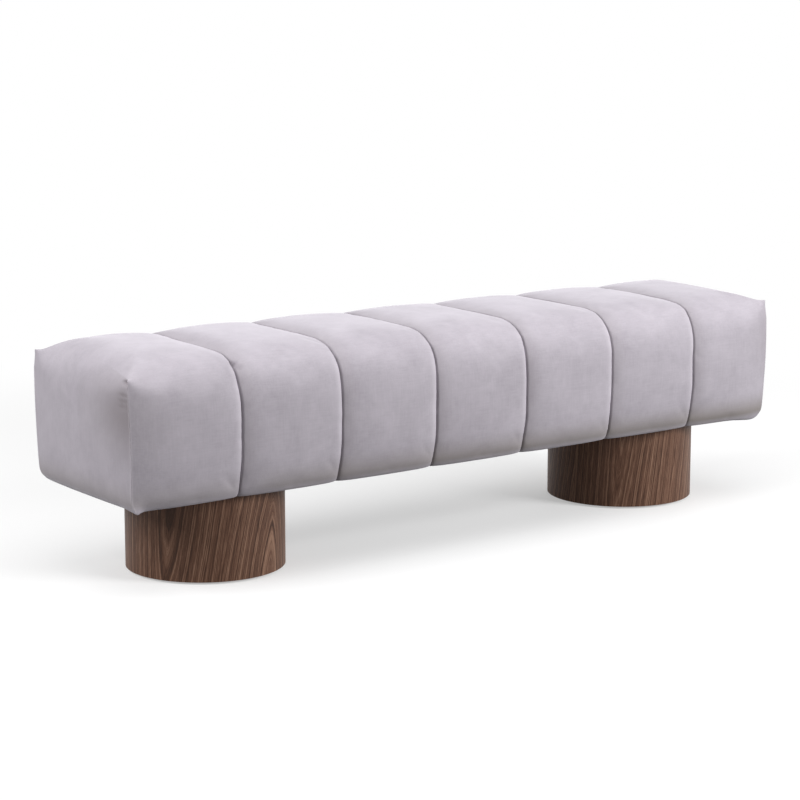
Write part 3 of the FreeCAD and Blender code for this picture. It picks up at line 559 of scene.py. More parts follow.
# %% [markdown]
# ## Section of the seat
#
# The section of the seat is a rectangle with rolled corners and slightly bowed faces. Stuffed cloth turns a
# corner slowly at first and quickly in the middle, so the roll is a superellipse and not an arc. Points of
# the rectangle that lie outside it are pulled back on to it. At the bottom the cover is drawn under the
# frame, most of all at the seams, so the faces lean inwards there.

# %% Lay the net on the section
SIDE_FULL, TOP_ROOM = 4 * MM, 1 * MM
SEAM_SINK = 7 * MM
TOP_ROUND, SEAM_ROUND = 108 * MM, 100 * MM
LOW_ROUND, SEAM_LOW_ROUND = 32 * MM, 16 * MM
ROLL_POWER = 2.9
CROWN_FLAT, CROWN_STEEP = 3, 0.48
FRONT_BOW, TOP_BOW = 6 * MM, 5 * MM
TUCK_HEIGHT, TUCK_CREST, TUCK_SEAM = 105 * MM, 6 * MM, 18 * MM
# How even the net is across, deep and high, where 1 is quite even
NET_EVEN = (0.18, 0.35, 0.35)


def roll(one, other, one_end, other_end, radius):
    """Rounds the corner at both ends, starting that far from it: tighter in the middle than an arc."""
    inner_one, inner_other = np.minimum(one, one_end - radius), np.minimum(other, other_end - radius)
    out_one, out_other = one - inner_one, other - inner_other
    reach = (out_one ** ROLL_POWER + out_other ** ROLL_POWER) ** (1 / ROLL_POWER)
    pull = np.where(reach > radius, radius / np.maximum(reach, 1e-9), 1)
    return inner_one + out_one * pull, inner_other + out_other * pull


def section(deep, high, side, top, top_round, low_round, tuck):
    """Lays a net point on the seat's section: deep from -1 to 1, high from 0 to 1."""
    flat_side, flat_top = side - FRONT_BOW, top - TOP_BOW
    facing = np.sign(deep)
    y, z = np.abs(deep) * flat_side, UNDERSIDE + high * (flat_top - UNDERSIDE)
    y, z = roll(y, z, flat_side, flat_top, top_round)
    y, hung = roll(y, -z, flat_side, -UNDERSIDE, low_round)
    z = -hung
    level = np.clip((z - UNDERSIDE) / (flat_top - UNDERSIDE), 0, 1)
    bowed_z = z + TOP_BOW * level * (1 - (y / flat_side) ** 2)
    drawn = tuck * np.clip(1 - (z - UNDERSIDE) / TUCK_HEIGHT, 0, 1) ** 2
    bowed_y = y * (1 + (FRONT_BOW * (1 - (2 * level - 1) ** 2) - drawn) / flat_side)
    return facing * bowed_y, bowed_z


def crown(across):
    """Rise of a channel between its seams, 0 at a seam and 1 at the crest."""
    return np.maximum(1 - np.abs(2 * across - 1) ** CROWN_FLAT, 0) ** CROWN_STEEP


def gather(share, even):
    """Brings the net from 0 to 1 closer together at both ends, where the cloth turns most."""
    return even * share + (1 - even) * (1 - np.cos(np.pi * share)) / 2


def gathered(net):
    """Places across, deep and high in the gathered net."""
    across, deep, high = NET_EVEN
    return gather(net[:, 0], across), 2 * gather(net[:, 1] / 2 + 0.5, deep) - 1, gather(net[:, 2], high)


def between(one, other, share):
    """One at a share of 0, the other at 1."""
    return one + (other - one) * share


def lay_channel(net, left):
    """Lays the net of a middle channel whose left seam is at that X."""
    across, deep, high = gathered(net)
    rise = crown(across)
    sink = SEAM_SINK * (1 - rise)
    y, z = section(
        deep, high, CREST_SIDE + SIDE_FULL - sink, CREST_TOP - TOP_ROOM - sink,
        between(SEAM_ROUND, TOP_ROUND, rise), between(SEAM_LOW_ROUND, LOW_ROUND, rise),
        between(TUCK_SEAM, TUCK_CREST, rise))
    return np.stack((left + across * PITCH, y, z), axis=1)


print("top roll", round(TOP_ROUND / MM), "mm at a crest,", round(SEAM_ROUND / MM), "mm at a seam")

# %% [markdown]
# ## End channels
#
# The end panels also cover the ends. Their top rolls down over the end in one piece, but the upright
# corners are sewn, and each corner seam ends above in a small pointed ear where three folds meet. So the
# rolls keep their full radius along the edges and tighten to almost nothing at the ears. At the near left
# foot the spare cloth of the corner makes a small pointed fold.

# %% Lay the net on an end
END_CROWN, CORNER_INSET = 12 * MM, 10 * MM
CORNER_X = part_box("velvet_end_right")[1][0] - CORNER_INSET
CORNER_DRAW = 22.5 * MM
CORNER_SIDE = CREST_SIDE + SIDE_FULL - CORNER_DRAW
END_ROLL = 100 * MM
EAR_ROUND = 3 * MM
ROLL_LENGTH = 88 * MM
DIP_LENGTH = 135 * MM
SWELL_LENGTH = 105 * MM
FOOT_ROUND = 34 * MM
FOOT_LENGTH = 60 * MM
BULGE_FLAT, BULGE_LOW, BULGE_LEVEL = 3, 0.45, 0.7
# Each corner as it is sewn, front then rear: how low its ear sits, and how round its foot is
EAR_DROPS = {"left": (31 * MM, 22 * MM), "right": (13 * MM, 16 * MM)}
FOOT_ROUNDS = {"left": (11 * MM, 34 * MM), "right": (40 * MM, 34 * MM)}


def ease(distance, length):
    """0 at the corner, 1 from that length on, quick at first."""
    return np.sin(np.pi / 2 * np.clip(distance / length, 0, 1))


def lay_end(net, ear_drops, foot_rounds):
    """Lays the net of the right end channel from its seam to the end."""
    across, deep, high = gathered(net)
    inner = across < 0.5
    rise = np.where(inner, crown(across), 1)
    from_end = (1 - across) * PITCH
    from_side = (1 - np.abs(deep)) * CREST_SIDE
    swell = ease(from_end, SWELL_LENGTH)
    side = CREST_SIDE + SIDE_FULL - np.where(inner, SEAM_SINK * (1 - rise), CORNER_DRAW * (1 - swell))
    ear_drop = np.where(deep < 0, *ear_drops)
    dip = ear_drop * (1 - ease(from_end, DIP_LENGTH)) * (1 - ease(from_side, DIP_LENGTH))
    top = CREST_TOP - TOP_ROOM - SEAM_SINK * (1 - rise) - dip
    seam_round = between(SEAM_ROUND, TOP_ROUND, rise)
    top_round = between(EAR_ROUND, seam_round, ease(from_end, ROLL_LENGTH))
    corner_foot = np.where(deep < 0, *foot_rounds)
    seam_foot = between(SEAM_LOW_ROUND, LOW_ROUND, rise)
    low_round = between(corner_foot, seam_foot, ease(from_end, FOOT_LENGTH))
    tuck = np.where(inner, between(TUCK_SEAM, TUCK_CREST, rise), TUCK_CREST * swell)
    y, z = section(deep, high, side, top, top_round, low_round, tuck)
    bulge = END_CROWN * (1 - np.abs(deep) ** BULGE_FLAT) * between(BULGE_LOW, 1, ease(high, BULGE_LEVEL))
    x = CORNER_X - from_end + bulge * np.clip(1 - from_end / SWELL_LENGTH, 0, 1) ** 2
    end_roll = between(EAR_ROUND, END_ROLL, ease(from_side, ROLL_LENGTH))
    x, z = roll(x, z, CORNER_X + bulge, top, end_roll)
    foot_round = between(corner_foot, FOOT_ROUND, ease(from_side, FOOT_LENGTH))
    x, hung = roll(x, -z, CORNER_X + bulge, -UNDERSIDE, foot_round)
    return np.stack((x, y, -hung), axis=1)


print("corner seams", round(CORNER_X / MM, 1), "mm from the middle")

# %% [markdown]
# ## Stuffing
#
# Smooth forms look moulded. Real panels are cloth that the wadding pushes out between the stitches, so each
# panel is blown up a little by cloth simulation: the seams, the corner seams and the hem are held, gravity
# is off and a light pressure works from inside. How far a point may move is capped, so the seat keeps its
# size.

# %% Uneven lines and lumps
MIDDLE_HEIGHT = (UNDERSIDE + CREST_TOP) / 2
DEPTH_SHARE = 0.75


def wave(angle, seed, counts, amplitude):
    """A smooth wandering line round the section, the same for both panels of a seam."""
    draws = np.random.default_rng(seed)
    phases = draws.uniform(0, 2 * np.pi, len(counts))
    total = sum(np.sin(count * angle + phase) for count, phase in zip(counts, phases))
    return amplitude * total / len(counts) ** 0.5


def round_angle(points):
    """Angle of each point round the middle of the section."""
    return np.arctan2(points[:, 2] - MIDDLE_HEIGHT, points[:, 1] * DEPTH_SHARE)


def outward(points):
    """Direction out of the section at each point, as a pair of Y and Z."""
    half = CREST_TOP - MIDDLE_HEIGHT
    away = np.stack((points[:, 1] / CREST_SIDE, (points[:, 2] - MIDDLE_HEIGHT) / half), axis=1)
    return away / np.maximum(np.linalg.norm(away, axis=1), 1e-9)[:, None]


def bell(distance, width):
    """1 at no distance, fading like a bell over that width."""
    return np.exp(-(distance / width) ** 2)


def above_hem(points, length):
    """0 at the underside, and 1 from that length above it."""
    return np.clip((points[:, 2] - UNDERSIDE) / length, 0, 1)


print("middle of the section", round(MIDDLE_HEIGHT / MM, 1), "mm high")

# %% Stuff a panel
SWELL_CAP = 5 * MM
FRAMES = 20
LUMP, LUMP_WAVES, LUMP_FADE = 0.35 * MM, (1, 2), 60 * MM


def swell_unevenly(points, seed):
    """Wadding is never quite even: broad swells of half a millimetre, other ones in each panel."""
    angle = round_angle(points)
    along = points[:, 0] / PITCH * 2 * np.pi
    lumps = wave(angle * 2 + along, seed, LUMP_WAVES, LUMP)
    lumps += wave(angle * 3 - along, seed + 5, LUMP_WAVES, LUMP)
    points[:, 1:] += outward(points) * (lumps * above_hem(points, LUMP_FADE))[:, None]
    return points


def stuff(piece, held):
    """Swells a panel between its held points by cloth simulation, and applies the result."""
    before = read_points(piece)
    group = piece.vertex_groups.new(name="held")
    group.add([int(index) for index in np.flatnonzero(held)], 1.0, "REPLACE")
    cloth = piece.modifiers.new("stuffing", "CLOTH")
    cloth.settings.quality = 6
    cloth.settings.vertex_group_mass = group.name
    cloth.settings.use_pressure = True
    cloth.settings.uniform_pressure_force = 4
    cloth.settings.tension_stiffness = cloth.settings.compression_stiffness = 25
    cloth.settings.shear_stiffness = 10
    cloth.settings.bending_stiffness = 1.5
    cloth.settings.effector_weights.gravity = 0
    cloth.collision_settings.use_collision = False
    cloth.point_cache.frame_start, cloth.point_cache.frame_end = 1, FRAMES
    for number in range(1, FRAMES + 1):
        bpy.context.scene.frame_set(number)
    pick(piece)
    bpy.ops.object.modifier_apply(modifier=cloth.name)
    piece.vertex_groups.clear()
    bpy.context.scene.frame_set(1)
    moved = read_points(piece) - before
    reach = np.linalg.norm(moved, axis=1)
    print(piece.name, "swells up to", round(reach.max() / MM, 1), "mm")
    keep = SWELL_CAP * np.tanh(reach / SWELL_CAP) / np.maximum(reach, 1e-9)
    write_points(piece, before + moved * keep[:, None])


print("swelling capped near", round(SWELL_CAP / MM), "mm")

# %% [markdown]
# ## Seams
#
# After the stuffing come the marks of sewing. A seam wanders by a millimetre, and the cloth beside it is
# gathered into faint puckers. The stitches draw the sewn edges down between their lips, so that a seam reads
# as a dark line, which fades at the hem. Two seams were drawn deeper than the rest.

# %% Sew the seams
SEAM_WAVES, SEAM_WANDER, SEAM_REACH, SEAM_FADE = (4, 7, 11), 0.8 * MM, 22 * MM, 20 * MM
PUCKER_WAVES, PUCKER, PUCKER_SPOT, PUCKER_WIDE = (23, 37, 53), 0.35 * MM, 7 * MM, 9 * MM
PUCKER_SEED = 50
STITCH_DEPTH, STITCH_FADE = 6 * MM, 50 * MM
# Seams, counted from the left, that are drawn deeper than the rest in their upper half
SEAM_SINKS = {1: 6.5 * MM, 2: 1.5 * MM}
SINK_REACH, SINK_FADE, SINK_REAR = 28 * MM, 80 * MM, 150 * MM


def sew_seam(points, seam_x, number):
    """Makes the seam at that X wander, gathers the cloth beside it and draws it down."""
    away = np.abs(points[:, 0] - seam_x)
    angle = round_angle(points)
    visible = above_hem(points, SEAM_FADE)
    wander = wave(angle, number, SEAM_WAVES, SEAM_WANDER)
    points[:, 0] += wander * bell(away, SEAM_REACH) * visible
    pucker = wave(angle, number + PUCKER_SEED, PUCKER_WAVES, PUCKER)
    pucker *= bell(away - PUCKER_SPOT, PUCKER_WIDE)
    upper = np.clip((points[:, 2] - MIDDLE_HEIGHT) / SINK_FADE, 0, 1)
    upper *= np.clip(1 - points[:, 1] / SINK_REAR, 0, 1)
    sink = SEAM_SINKS.get(number, 0) * bell(away, SINK_REACH) * upper
    points[:, 1:] += outward(points) * (pucker * visible - sink)[:, None]
    return points


def stitch_down(points, at_seam):
    """Draws the sewn edge of a panel down between its lips."""
    points[:, 1:] -= outward(points) * (STITCH_DEPTH * at_seam * above_hem(points, STITCH_FADE))[:, None]
    return points


def pinch(points, spot, push, radius):
    """Moves the points round a spot, most at the spot."""
    away = np.linalg.norm(points - np.array(spot), axis=1)
    return points + np.array(push) * bell(away, radius)[:, None]


print("stitches", round(STITCH_DEPTH / MM, 1), "mm deep")

# %% [markdown]
# ## Ears and corner seams
#
# The corner seams stand up as fine ridges, and the ears are pinched to a point. The end panel is longer than
# the front along the corner seam, so its spare length is eased in: a small tuck beside the ear and a few
# short gathers below it.

# %% Sew the ears
EAR_REACH, EAR_FADE, EAR_SOFT, EAR_SMOOTHING = 95 * MM, 44 * MM, 8 * MM, 24
TUCK_ASIDE, TUCK_WIDE, TUCK_BELOW, TUCK_HIGH = 7 * MM, 11 * MM, 4 * MM, 4.5 * MM
GATHERS = (27 * MM, 38 * MM, 48 * MM)
GATHER_WIDE, GATHER_LONG = 2.8 * MM, 12 * MM
# What counts as the edges of the net
NET_START, NET_END = 0.001, 0.999


def highest(points):
    """The highest of some points."""
    return points[points[:, 2].argmax()]


def ease_ears(piece, at_corner):
    """Smooths the cloth above the ears, where the rolls of the front and the end meet."""
    points = read_points(piece)
    pick(piece)
    start_selection("VERT")
    share = np.zeros(len(points))
    for facing in (-1, 1):
        ear = highest(points[at_corner & (points[:, 1] * facing > 0)])
        away = np.linalg.norm(points - ear, axis=1)
        above = np.clip((points[:, 2] - ear[2]) / EAR_SOFT + 0.5, 0, 1)
        share += bell(away, EAR_FADE) * above * (away < EAR_REACH)
    share[at_corner] = 0
    piece.data.vertices.foreach_set("select", share > 0)
    bpy.ops.object.mode_set(mode="EDIT")
    bpy.ops.mesh.vertices_smooth(factor=0.5, repeat=EAR_SMOOTHING)
    bpy.ops.object.mode_set(mode="OBJECT")
    write_points(piece, points + (read_points(piece) - points) * share[:, None])


def ear_folds(points, net, facing):
    """The ear, and how deep the tuck and the gathers beside it are, from 0 to 1, on the end panel alone."""
    corner = (net[:, 0] > NET_END) & (net[:, 1] * facing > NET_END)
    ear = highest(points[corner])
    away, below = np.abs(points[:, 1] - ear[1]), ear[2] - points[:, 2]
    tuck = bell(away - TUCK_ASIDE, TUCK_WIDE) * bell(below - TUCK_BELOW, TUCK_HIGH)
    rows = sum(bell(below - row, GATHER_WIDE) for row in GATHERS)
    gathers = rows * bell(away - GATHER_LONG, GATHER_LONG)
    on_end = (net[:, 0] > NET_END) & ~corner & (net[:, 1] < 0)
    return ear, tuck * on_end, gathers * on_end


print("gathers", [round(row / MM) for row in GATHERS], "mm below an ear")

# %% Sew the corners
RIDGE, RIDGE_FROM = 0.9 * MM, 0.02
CORNER_BOW, CORNER_REACH, BOW_ASIDE, BOW_FADE = 6 * MM, 60 * MM, 0.6, 4.5
TUCK_DEPTH, GATHER_DEPTH = 7 * MM, 1.2 * MM
EAR_OUT, EAR_UP, EAR_SIZE = 1 * MM, 2 * MM, 7 * MM


def sew_corner(points, net, facing):
    """Raises the corner seam, bows it out, pinches the ear and folds the end panel below it."""
    seam = (net[:, 0] > NET_END) & (net[:, 1] * facing > NET_END)
    points[seam & (net[:, 2] > RIDGE_FROM)] += np.array((1.0, facing, 0)) * RIDGE
    level = above_hem(points, SEAT_HEIGHT)
    corner = np.array((CORNER_X, facing * CORNER_SIDE))
    near = bell(np.linalg.norm(points[:, :2] - corner, axis=1), CORNER_REACH)
    bow = CORNER_BOW * near * level * np.clip(BOW_FADE * (1 - level), 0, 1)
    points[:, 0] += bow
    points[:, 1] += facing * BOW_ASIDE * bow
    ear, tuck, gathers = ear_folds(points, net, facing)
    points[:, 0] -= TUCK_DEPTH * tuck + GATHER_DEPTH * gathers
    return pinch(points, ear, (EAR_OUT, facing * EAR_OUT, EAR_UP), EAR_SIZE)


print("corner seams bow out by", round(CORNER_BOW / MM), "mm")

# %% [markdown]
# ## Hem
#
# Wadding settles and a hem sags. The top slopes a little towards the right, and outside the drums the hem
# hangs a few millimetres below the frame. Its inner edge steps up, so that the dust cover lies in the
# opening.

# %% Settle the seat and hang the hem
SETTLED = 6 * MM
HEM_HANG, HEM_FADE, HEM_SIDE_FADE = 4 * MM, 90 * MM, 20 * MM
HEM_STEP, DRUM_CLEAR = 1.8 * MM, 4 * MM
DRUM_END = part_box("right_drum_veneer")[1][0] + DRUM_CLEAR
dust_low, dust_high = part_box("dust_cover")


def settle(points):
    """Slopes the top towards the right by a few millimetres."""
    points[:, 2] -= SETTLED * above_hem(points, SEAT_HEIGHT) * points[:, 0] / CORNER_X
    return points


def hang_hem(points):
    """Lets the hem sag a little below the frame, outside the drums."""
    outside = np.maximum(np.abs(points[:, 1]) - DRUM_RADIUS, np.abs(points[:, 0]) - DRUM_END)
    points[:, 2] -= HEM_HANG * np.clip(outside / HEM_SIDE_FADE, 0, 1) * (1 - above_hem(points, HEM_FADE))
    return points


def lift_over_dust_cover(points):
    """Steps the hem's inner edge up, so that the dust cover lies in the opening."""
    inside = (np.abs(points[:, 1]) < dust_high[1]) & (np.abs(points[:, 0]) < dust_high[0])
    flat = points[:, 2] < UNDERSIDE + HEM_STEP / 4
    points[inside & flat, 2] += HEM_STEP
    return points


print("hem hangs", round(HEM_HANG / MM), "mm below the frame")

# %% [markdown]
# ## Painted shade and highlights
#
# Shade is painted into the velvet in the folds, beside the front corner seams and to the right of every
# seam. Along the foot of the cover the painted shade is darker and warmer, though less at its rim, where
# light bounced from below is painted. A highlight is painted on the left lip of every seam and on the ridge
# of the corner seams.

# %% Paint shade and highlights on the pile
# Painted shade: how far it reaches and how dark it is by the corner seams, the seams and the folds
FRONT_SHADE_REACH, END_SHADE_REACH = 62 * MM, 115 * MM
CORNER_SHADE, FRONT_SHARE, CORNER_SHADE_LEVEL, CORNER_SHADE_SPREAD = 0.95, 0.25, 0.64, 0.25
SEAM_SHADE_REACH, SEAM_SHADE, FOLD_SHADE = 26 * MM, 0.35, 0.5
# Painted highlights on the lips of the seams and on the ridges of the corner seams
LIP_SPOT, LIP_SIZE, LIP_HIGHLIGHT, RIDGE_HIGHLIGHT = 5 * MM, 8 * MM, 0.4, 0.3
LIP_TOP_FADE, LIP_LOW_FADE = 4, 3
# Painted foot shade: its height, its gap beside a seam, and the lighter rim below it
FOOT_SHADE_HEIGHT, FOOT_SHADE_ASIDE, RIM_HEIGHT, RIM_FADE = 64 * MM, 45 * MM, 4 * MM, 12 * MM
# How dark the painted shade at the foot is: on the ends, and on the fronts of the seven panels from the
# left. In the second of them it is not painted right beside the seam
END_FOOT_SHADE, FREE_PANEL = 0.5, 1
FRONT_FOOT_SHADES = np.array((0.42, 0.62, 0.7, 0.8, 0.82, 0.88, 0.98))


def paint_shade_and_highlights(piece, points, on_end, at_corner, folds):
    """Stores painted shade by corners, seams, folds and the foot, and painted highlights on lips and ridges.
    """
    from_end = np.abs(np.abs(points[:, 0]) - CORNER_X)
    from_side = np.abs(np.abs(points[:, 1]) - CORNER_SIDE)
    level = above_hem(points, SEAT_HEIGHT)
    # Painted shade beside the front corner seams, strongest on the end panels
    corner = bell(from_end, FRONT_SHADE_REACH) * bell(from_side, END_SHADE_REACH)
    corner *= bell(level - CORNER_SHADE_LEVEL, CORNER_SHADE_SPREAD)
    corner *= np.where(on_end, 1, FRONT_SHARE) * (points[:, 1] < 0)
    by_seam = np.abs(points[:, 0]) < CORNER_X - PITCH / 2
    past_seam = (points[:, 0] + CORNER_X) % PITCH
    # Painted shade to the right of every seam
    beside = bell(past_seam, SEAM_SHADE_REACH) * by_seam
    # Painted highlight on the left lip of every seam, fading towards the top and the hem
    lip = bell(PITCH - past_seam - LIP_SPOT, LIP_SIZE) * by_seam
    lip *= np.clip(LIP_TOP_FADE * (1 - level), 0, 1) * np.clip(LIP_LOW_FADE * level, 0, 1)
    # Painted shade along the foot of the cover, darker and warmer towards the hem
    foot = 1 - above_hem(points, FOOT_SHADE_HEIGHT)
    foot_shade_amount = foot * foot * (3 - 2 * foot)
    # The rim is left lighter: painted light bounced up from below
    foot_shade_amount *= np.clip((points[:, 2] - UNDERSIDE - RIM_HEIGHT) / RIM_FADE, 0, 1)
    panel_number = np.clip((points[:, 0] + CORNER_X) // PITCH, 0, len(FRONT_FOOT_SHADES) - 1).astype(int)
    foot_shade_amount *= np.where(on_end, END_FOOT_SHADE, FRONT_FOOT_SHADES[panel_number])
    foot_shade_amount *= 1 - bell(past_seam, FOOT_SHADE_ASIDE) * (by_seam & (panel_number == FREE_PANEL))
    # Painted shade beside the front corner seams, right of every seam and in the folds
    painted_shade_amount = CORNER_SHADE * corner + SEAM_SHADE * beside + FOLD_SHADE * folds
    # Painted highlight on the left lip of every seam and on the ridge of the corner seams
    painted_highlight_amount = LIP_HIGHLIGHT * lip + RIDGE_HIGHLIGHT * at_corner
    for name, amount in (("painted_shade", painted_shade_amount), ("painted_foot_shade", foot_shade_amount), ("painted_highlight", painted_highlight_amount)):
        layer = piece.data.attributes.new(name, "FLOAT", "POINT")
        layer.data.foreach_set("value", np.clip(amount, 0, 1).astype(np.float32))


# The height of the painted foot shade
print("pile brushed down up to", round(FOOT_SHADE_HEIGHT / MM), "mm above the hem")

# %% [markdown]
# ## Build the panels
#
# The middle panels differ only in their place and their small unevenness. At the first seam the cloth was
# not drawn quite tight at the front bend, so it gapes there and the next panel has a little fold. The last
# seam was drawn less than the rest at that bend.

# %% Finish a panel
CORNER_CREASE = 0.9


def finish_panel(piece, creased, *replaced):
    """Creases the corner seams, smooths the panel, gives it its velvet and ties it to the frame."""
    pick(piece)
    select_edges(piece, lambda one, other: creased[one] and creased[other])
    bpy.ops.transform.edge_crease(value=CORNER_CREASE)
    bpy.ops.mesh.select_all(action="SELECT")
    bpy.ops.mesh.normals_make_consistent(inside=False)
    bpy.ops.object.mode_set(mode="OBJECT")
    smooth = piece.modifiers.new("smooth", "SUBSURF")
    smooth.levels = smooth.render_levels = 1
    bpy.ops.object.modifier_apply(modifier=smooth.name)
    bpy.ops.object.shade_smooth()
    dress(piece, velvet)
    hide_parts(*replaced)
    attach(piece, "root")
    print(piece.name, len(piece.data.polygons), "faces")


print("corner seams creased by", CORNER_CREASE)

# %% Build the middle panels
MIDDLE_PANELS = 5
PANEL_SEED = 30
first_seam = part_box("velvet_channel_1")[0][0]
last_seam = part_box(f"velvet_channel_{MIDDLE_PANELS}")[1][0]
GAPE = (first_seam, 37 * MM - CREST_SIDE, CREST_TOP - 28.8 * MM)
FOLD = (GAPE[0] + 12 * MM, GAPE[1] - 4 * MM, GAPE[2] - 4 * MM)
BEND = (last_seam, 33 * MM - CREST_SIDE, CREST_TOP - 24.3 * MM)
BEND_PULL = (BEND, (0, -3 * MM, 4 * MM), 30 * MM)
# What is pulled in which panel: a spot, how far it moves and how wide the pull is
PULLS = {
    1: [(GAPE, (7 * MM, 4 * MM, -4 * MM), 8 * MM), (FOLD, (0, -3 * MM, 3 * MM), 6 * MM)],
    MIDDLE_PANELS: [BEND_PULL],
}

for number in range(1, MIDDLE_PANELS + 1):
    low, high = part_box(f"velvet_channel_{number}")
    panel = cut_cube(f"seat_panel_{number}", CUTS_HIGH)
    net = read_points(panel)
    write_points(panel, swell_unevenly(lay_channel(net, low[0]), PANEL_SEED + number))
    at_seam = (net[:, 0] < NET_START) | (net[:, 0] > NET_END)
    at_hem = net[:, 2] < NET_START
    stuff(panel, at_seam | at_hem)
    sewn = sew_seam(read_points(panel), low[0], number)
    sewn = sew_seam(sewn, high[0], number + 1)
    sewn = stitch_down(sewn, at_seam)
    for pull in PULLS.get(number, []):
        sewn = pinch(sewn, *pull)
    nowhere = np.zeros(len(sewn), dtype=bool)
    paint_shade_and_highlights(panel, sewn, nowhere, nowhere, nowhere)
    write_points(panel, settle(hang_hem(lift_over_dust_cover(sewn))))
    finish_panel(panel, nowhere, f"velvet_channel_{number}", f"wadding_channel_{number}")

# %% Build the end panels
END_FULLNESS = {"left": 3 * MM, "right": -7 * MM}
FOOT_PULLS = {"left": ((7 * MM, -7 * MM, -3 * MM), 15 * MM), "right": ((0, 0, -11 * MM), 64 * MM)}
SEAM_PULLS = {"left": (GAPE, (-2 * MM, 0, 0), 6 * MM), "right": BEND_PULL}
CREASE_FROM = 0.12
END_SEED = 40

for side, turn, seed in (("right", 1, 6), ("left", -1, 1)):
    panel = cut_cube(f"seat_panel_{side}_end", END_CUTS_HIGH)
    net = read_points(panel)
    laid = lay_end(net, EAR_DROPS[side], FOOT_ROUNDS[side])
    write_points(panel, swell_unevenly(laid, END_SEED + seed))
    at_seam = net[:, 0] < NET_START
    on_end = net[:, 0] > NET_END
    at_corner = on_end & (np.abs(net[:, 1]) > NET_END)
    at_hem = net[:, 2] < NET_START
    stuff(panel, at_seam | at_hem | at_corner)
    ease_ears(panel, at_corner)
    sewn = read_points(panel)
    # Depth of the tucks and gathers, which also sets the painted shade in them
    folds = np.zeros(len(sewn))
    for facing in (-1, 1):
        sewn = sew_corner(sewn, net, facing)
        folds += sum(ear_folds(sewn, net, facing)[1:])
    sewn[:, 0] += END_FULLNESS[side] * np.clip((sewn[:, 0] - CORNER_X + PITCH) / PITCH, 0, 1) ** 2
    sewn[:, 0] *= turn
    sewn = sew_seam(sewn, turn * (CORNER_X - PITCH), seed)
    foot = (turn * CORNER_X, FRONT_BOW - CORNER_SIDE, UNDERSIDE)
    sewn = pinch(sewn, foot, *FOOT_PULLS[side])
    sewn = pinch(sewn, *SEAM_PULLS[side])
    sewn = stitch_down(sewn, at_seam)
    paint_shade_and_highlights(panel, sewn, on_end, at_corner, folds)
    write_points(panel, settle(hang_hem(lift_over_dust_cover(sewn))))
    pointed = (net[:, 1] < 0) & (side == "left")
    creased = at_corner & (pointed | (net[:, 2] > CREASE_FROM))
    finish_panel(panel, creased, f"velvet_end_{side}", f"wadding_end_{side}")

# %% [markdown]
# ## Dust cover
#
# A black cloth closes the underside. It is spunbond fleece, cut to the opening, turned in at its edge and
# stapled tight to the base board between the hems. It starts as a plane, gets a turned edge by inset and a
# net of cuts, is rumpled by a fraction of a millimetre and then made as thick as fleece.

# %% Dust cover
FLEECE_THICK = 0.6 * MM
TURNED_EDGE, TURN_SLOPE, TURN_THICK = 12 * MM, 3 * MM, 0.25 * MM
DUST_CUTS = 31
RIPPLE, RIPPLE_WAVES, RIPPLE_SEED = 0.1 * MM, (1, 2.3, 4.1), 71
RIPPLE_ALONG, RIPPLE_ACROSS = 70, 40
SHARP_FROM = math.radians(40)
DUST_LENGTH, DUST_WIDTH = dust_high[0] - dust_low[0], dust_high[1] - dust_low[1]

deselect()
bpy.ops.mesh.primitive_plane_add(size=1, location=(0, 0, 0))
dust = bpy.context.object
dust.name = dust.data.name = "dust_cover_cloth"
dust.scale = (DUST_LENGTH, DUST_WIDTH, 1)
bpy.ops.object.transform_apply(location=True, rotation=True, scale=True)
bpy.ops.object.mode_set(mode="EDIT")
bpy.ops.mesh.select_all(action="SELECT")
bpy.ops.mesh.inset(thickness=TURNED_EDGE)
bpy.ops.mesh.select_all(action="SELECT")
bpy.ops.mesh.subdivide(number_cuts=DUST_CUTS)
bpy.ops.object.mode_set(mode="OBJECT")
laid = read_points(dust)
inside = np.minimum(DUST_LENGTH / 2 - np.abs(laid[:, 0]), DUST_WIDTH / 2 - np.abs(laid[:, 1]))
turned = np.clip((TURNED_EDGE - inside) / TURN_SLOPE, 0, 1)
turns = laid[:, 0] * RIPPLE_ALONG + laid[:, 1] * RIPPLE_ACROSS
ripple = wave(turns, RIPPLE_SEED, RIPPLE_WAVES, RIPPLE)
laid[:, 2] = dust_low[2] + FLEECE_THICK - TURN_THICK * turned + ripple * (1 - turned)
write_points(dust, laid)
thick = dust.modifiers.new("thick", "SOLIDIFY")
thick.thickness = FLEECE_THICK
thick.offset = 0
bpy.ops.object.modifier_apply(modifier=thick.name)
bpy.ops.object.shade_smooth_by_angle(angle=SHARP_FROM)
dress(dust, slot_finishes["dust_cloth"])
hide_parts("dust_cover")
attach(dust, "root")
print("dust cover", round(DUST_LENGTH / MM), "x", round(DUST_WIDTH / MM), "mm")

# %% [markdown]
# ## Studio
#
# The bench stands on a plain pale floor under soft light: a wide overhead box, a key from the front right
# and weak fills from the left and from behind. What the camera sees of floor and sky is white, and so is
# what gloss shows of them, but the light that they throw back on the bench is weaker, as in a large dark
# studio. The floor keeps the shadow, and is clear from below, so that the underside can be looked at.

# %% Floor
def seen_directly(tree):
    """1 for what the camera sees itself, by gloss or through glass, and 0 for bounced light."""
    rays = add(tree, "ShaderNodeLightPath").outputs
    looks = add(tree, "ShaderNodeMath", {
        0: rays["Is Camera Ray"], 1: rays["Is Glossy Ray"]}, operation="MAXIMUM").outputs[0]
    return add(tree, "ShaderNodeMath", {
        0: looks, 1: rays["Is Transmission Ray"]}, operation="MAXIMUM").outputs[0]


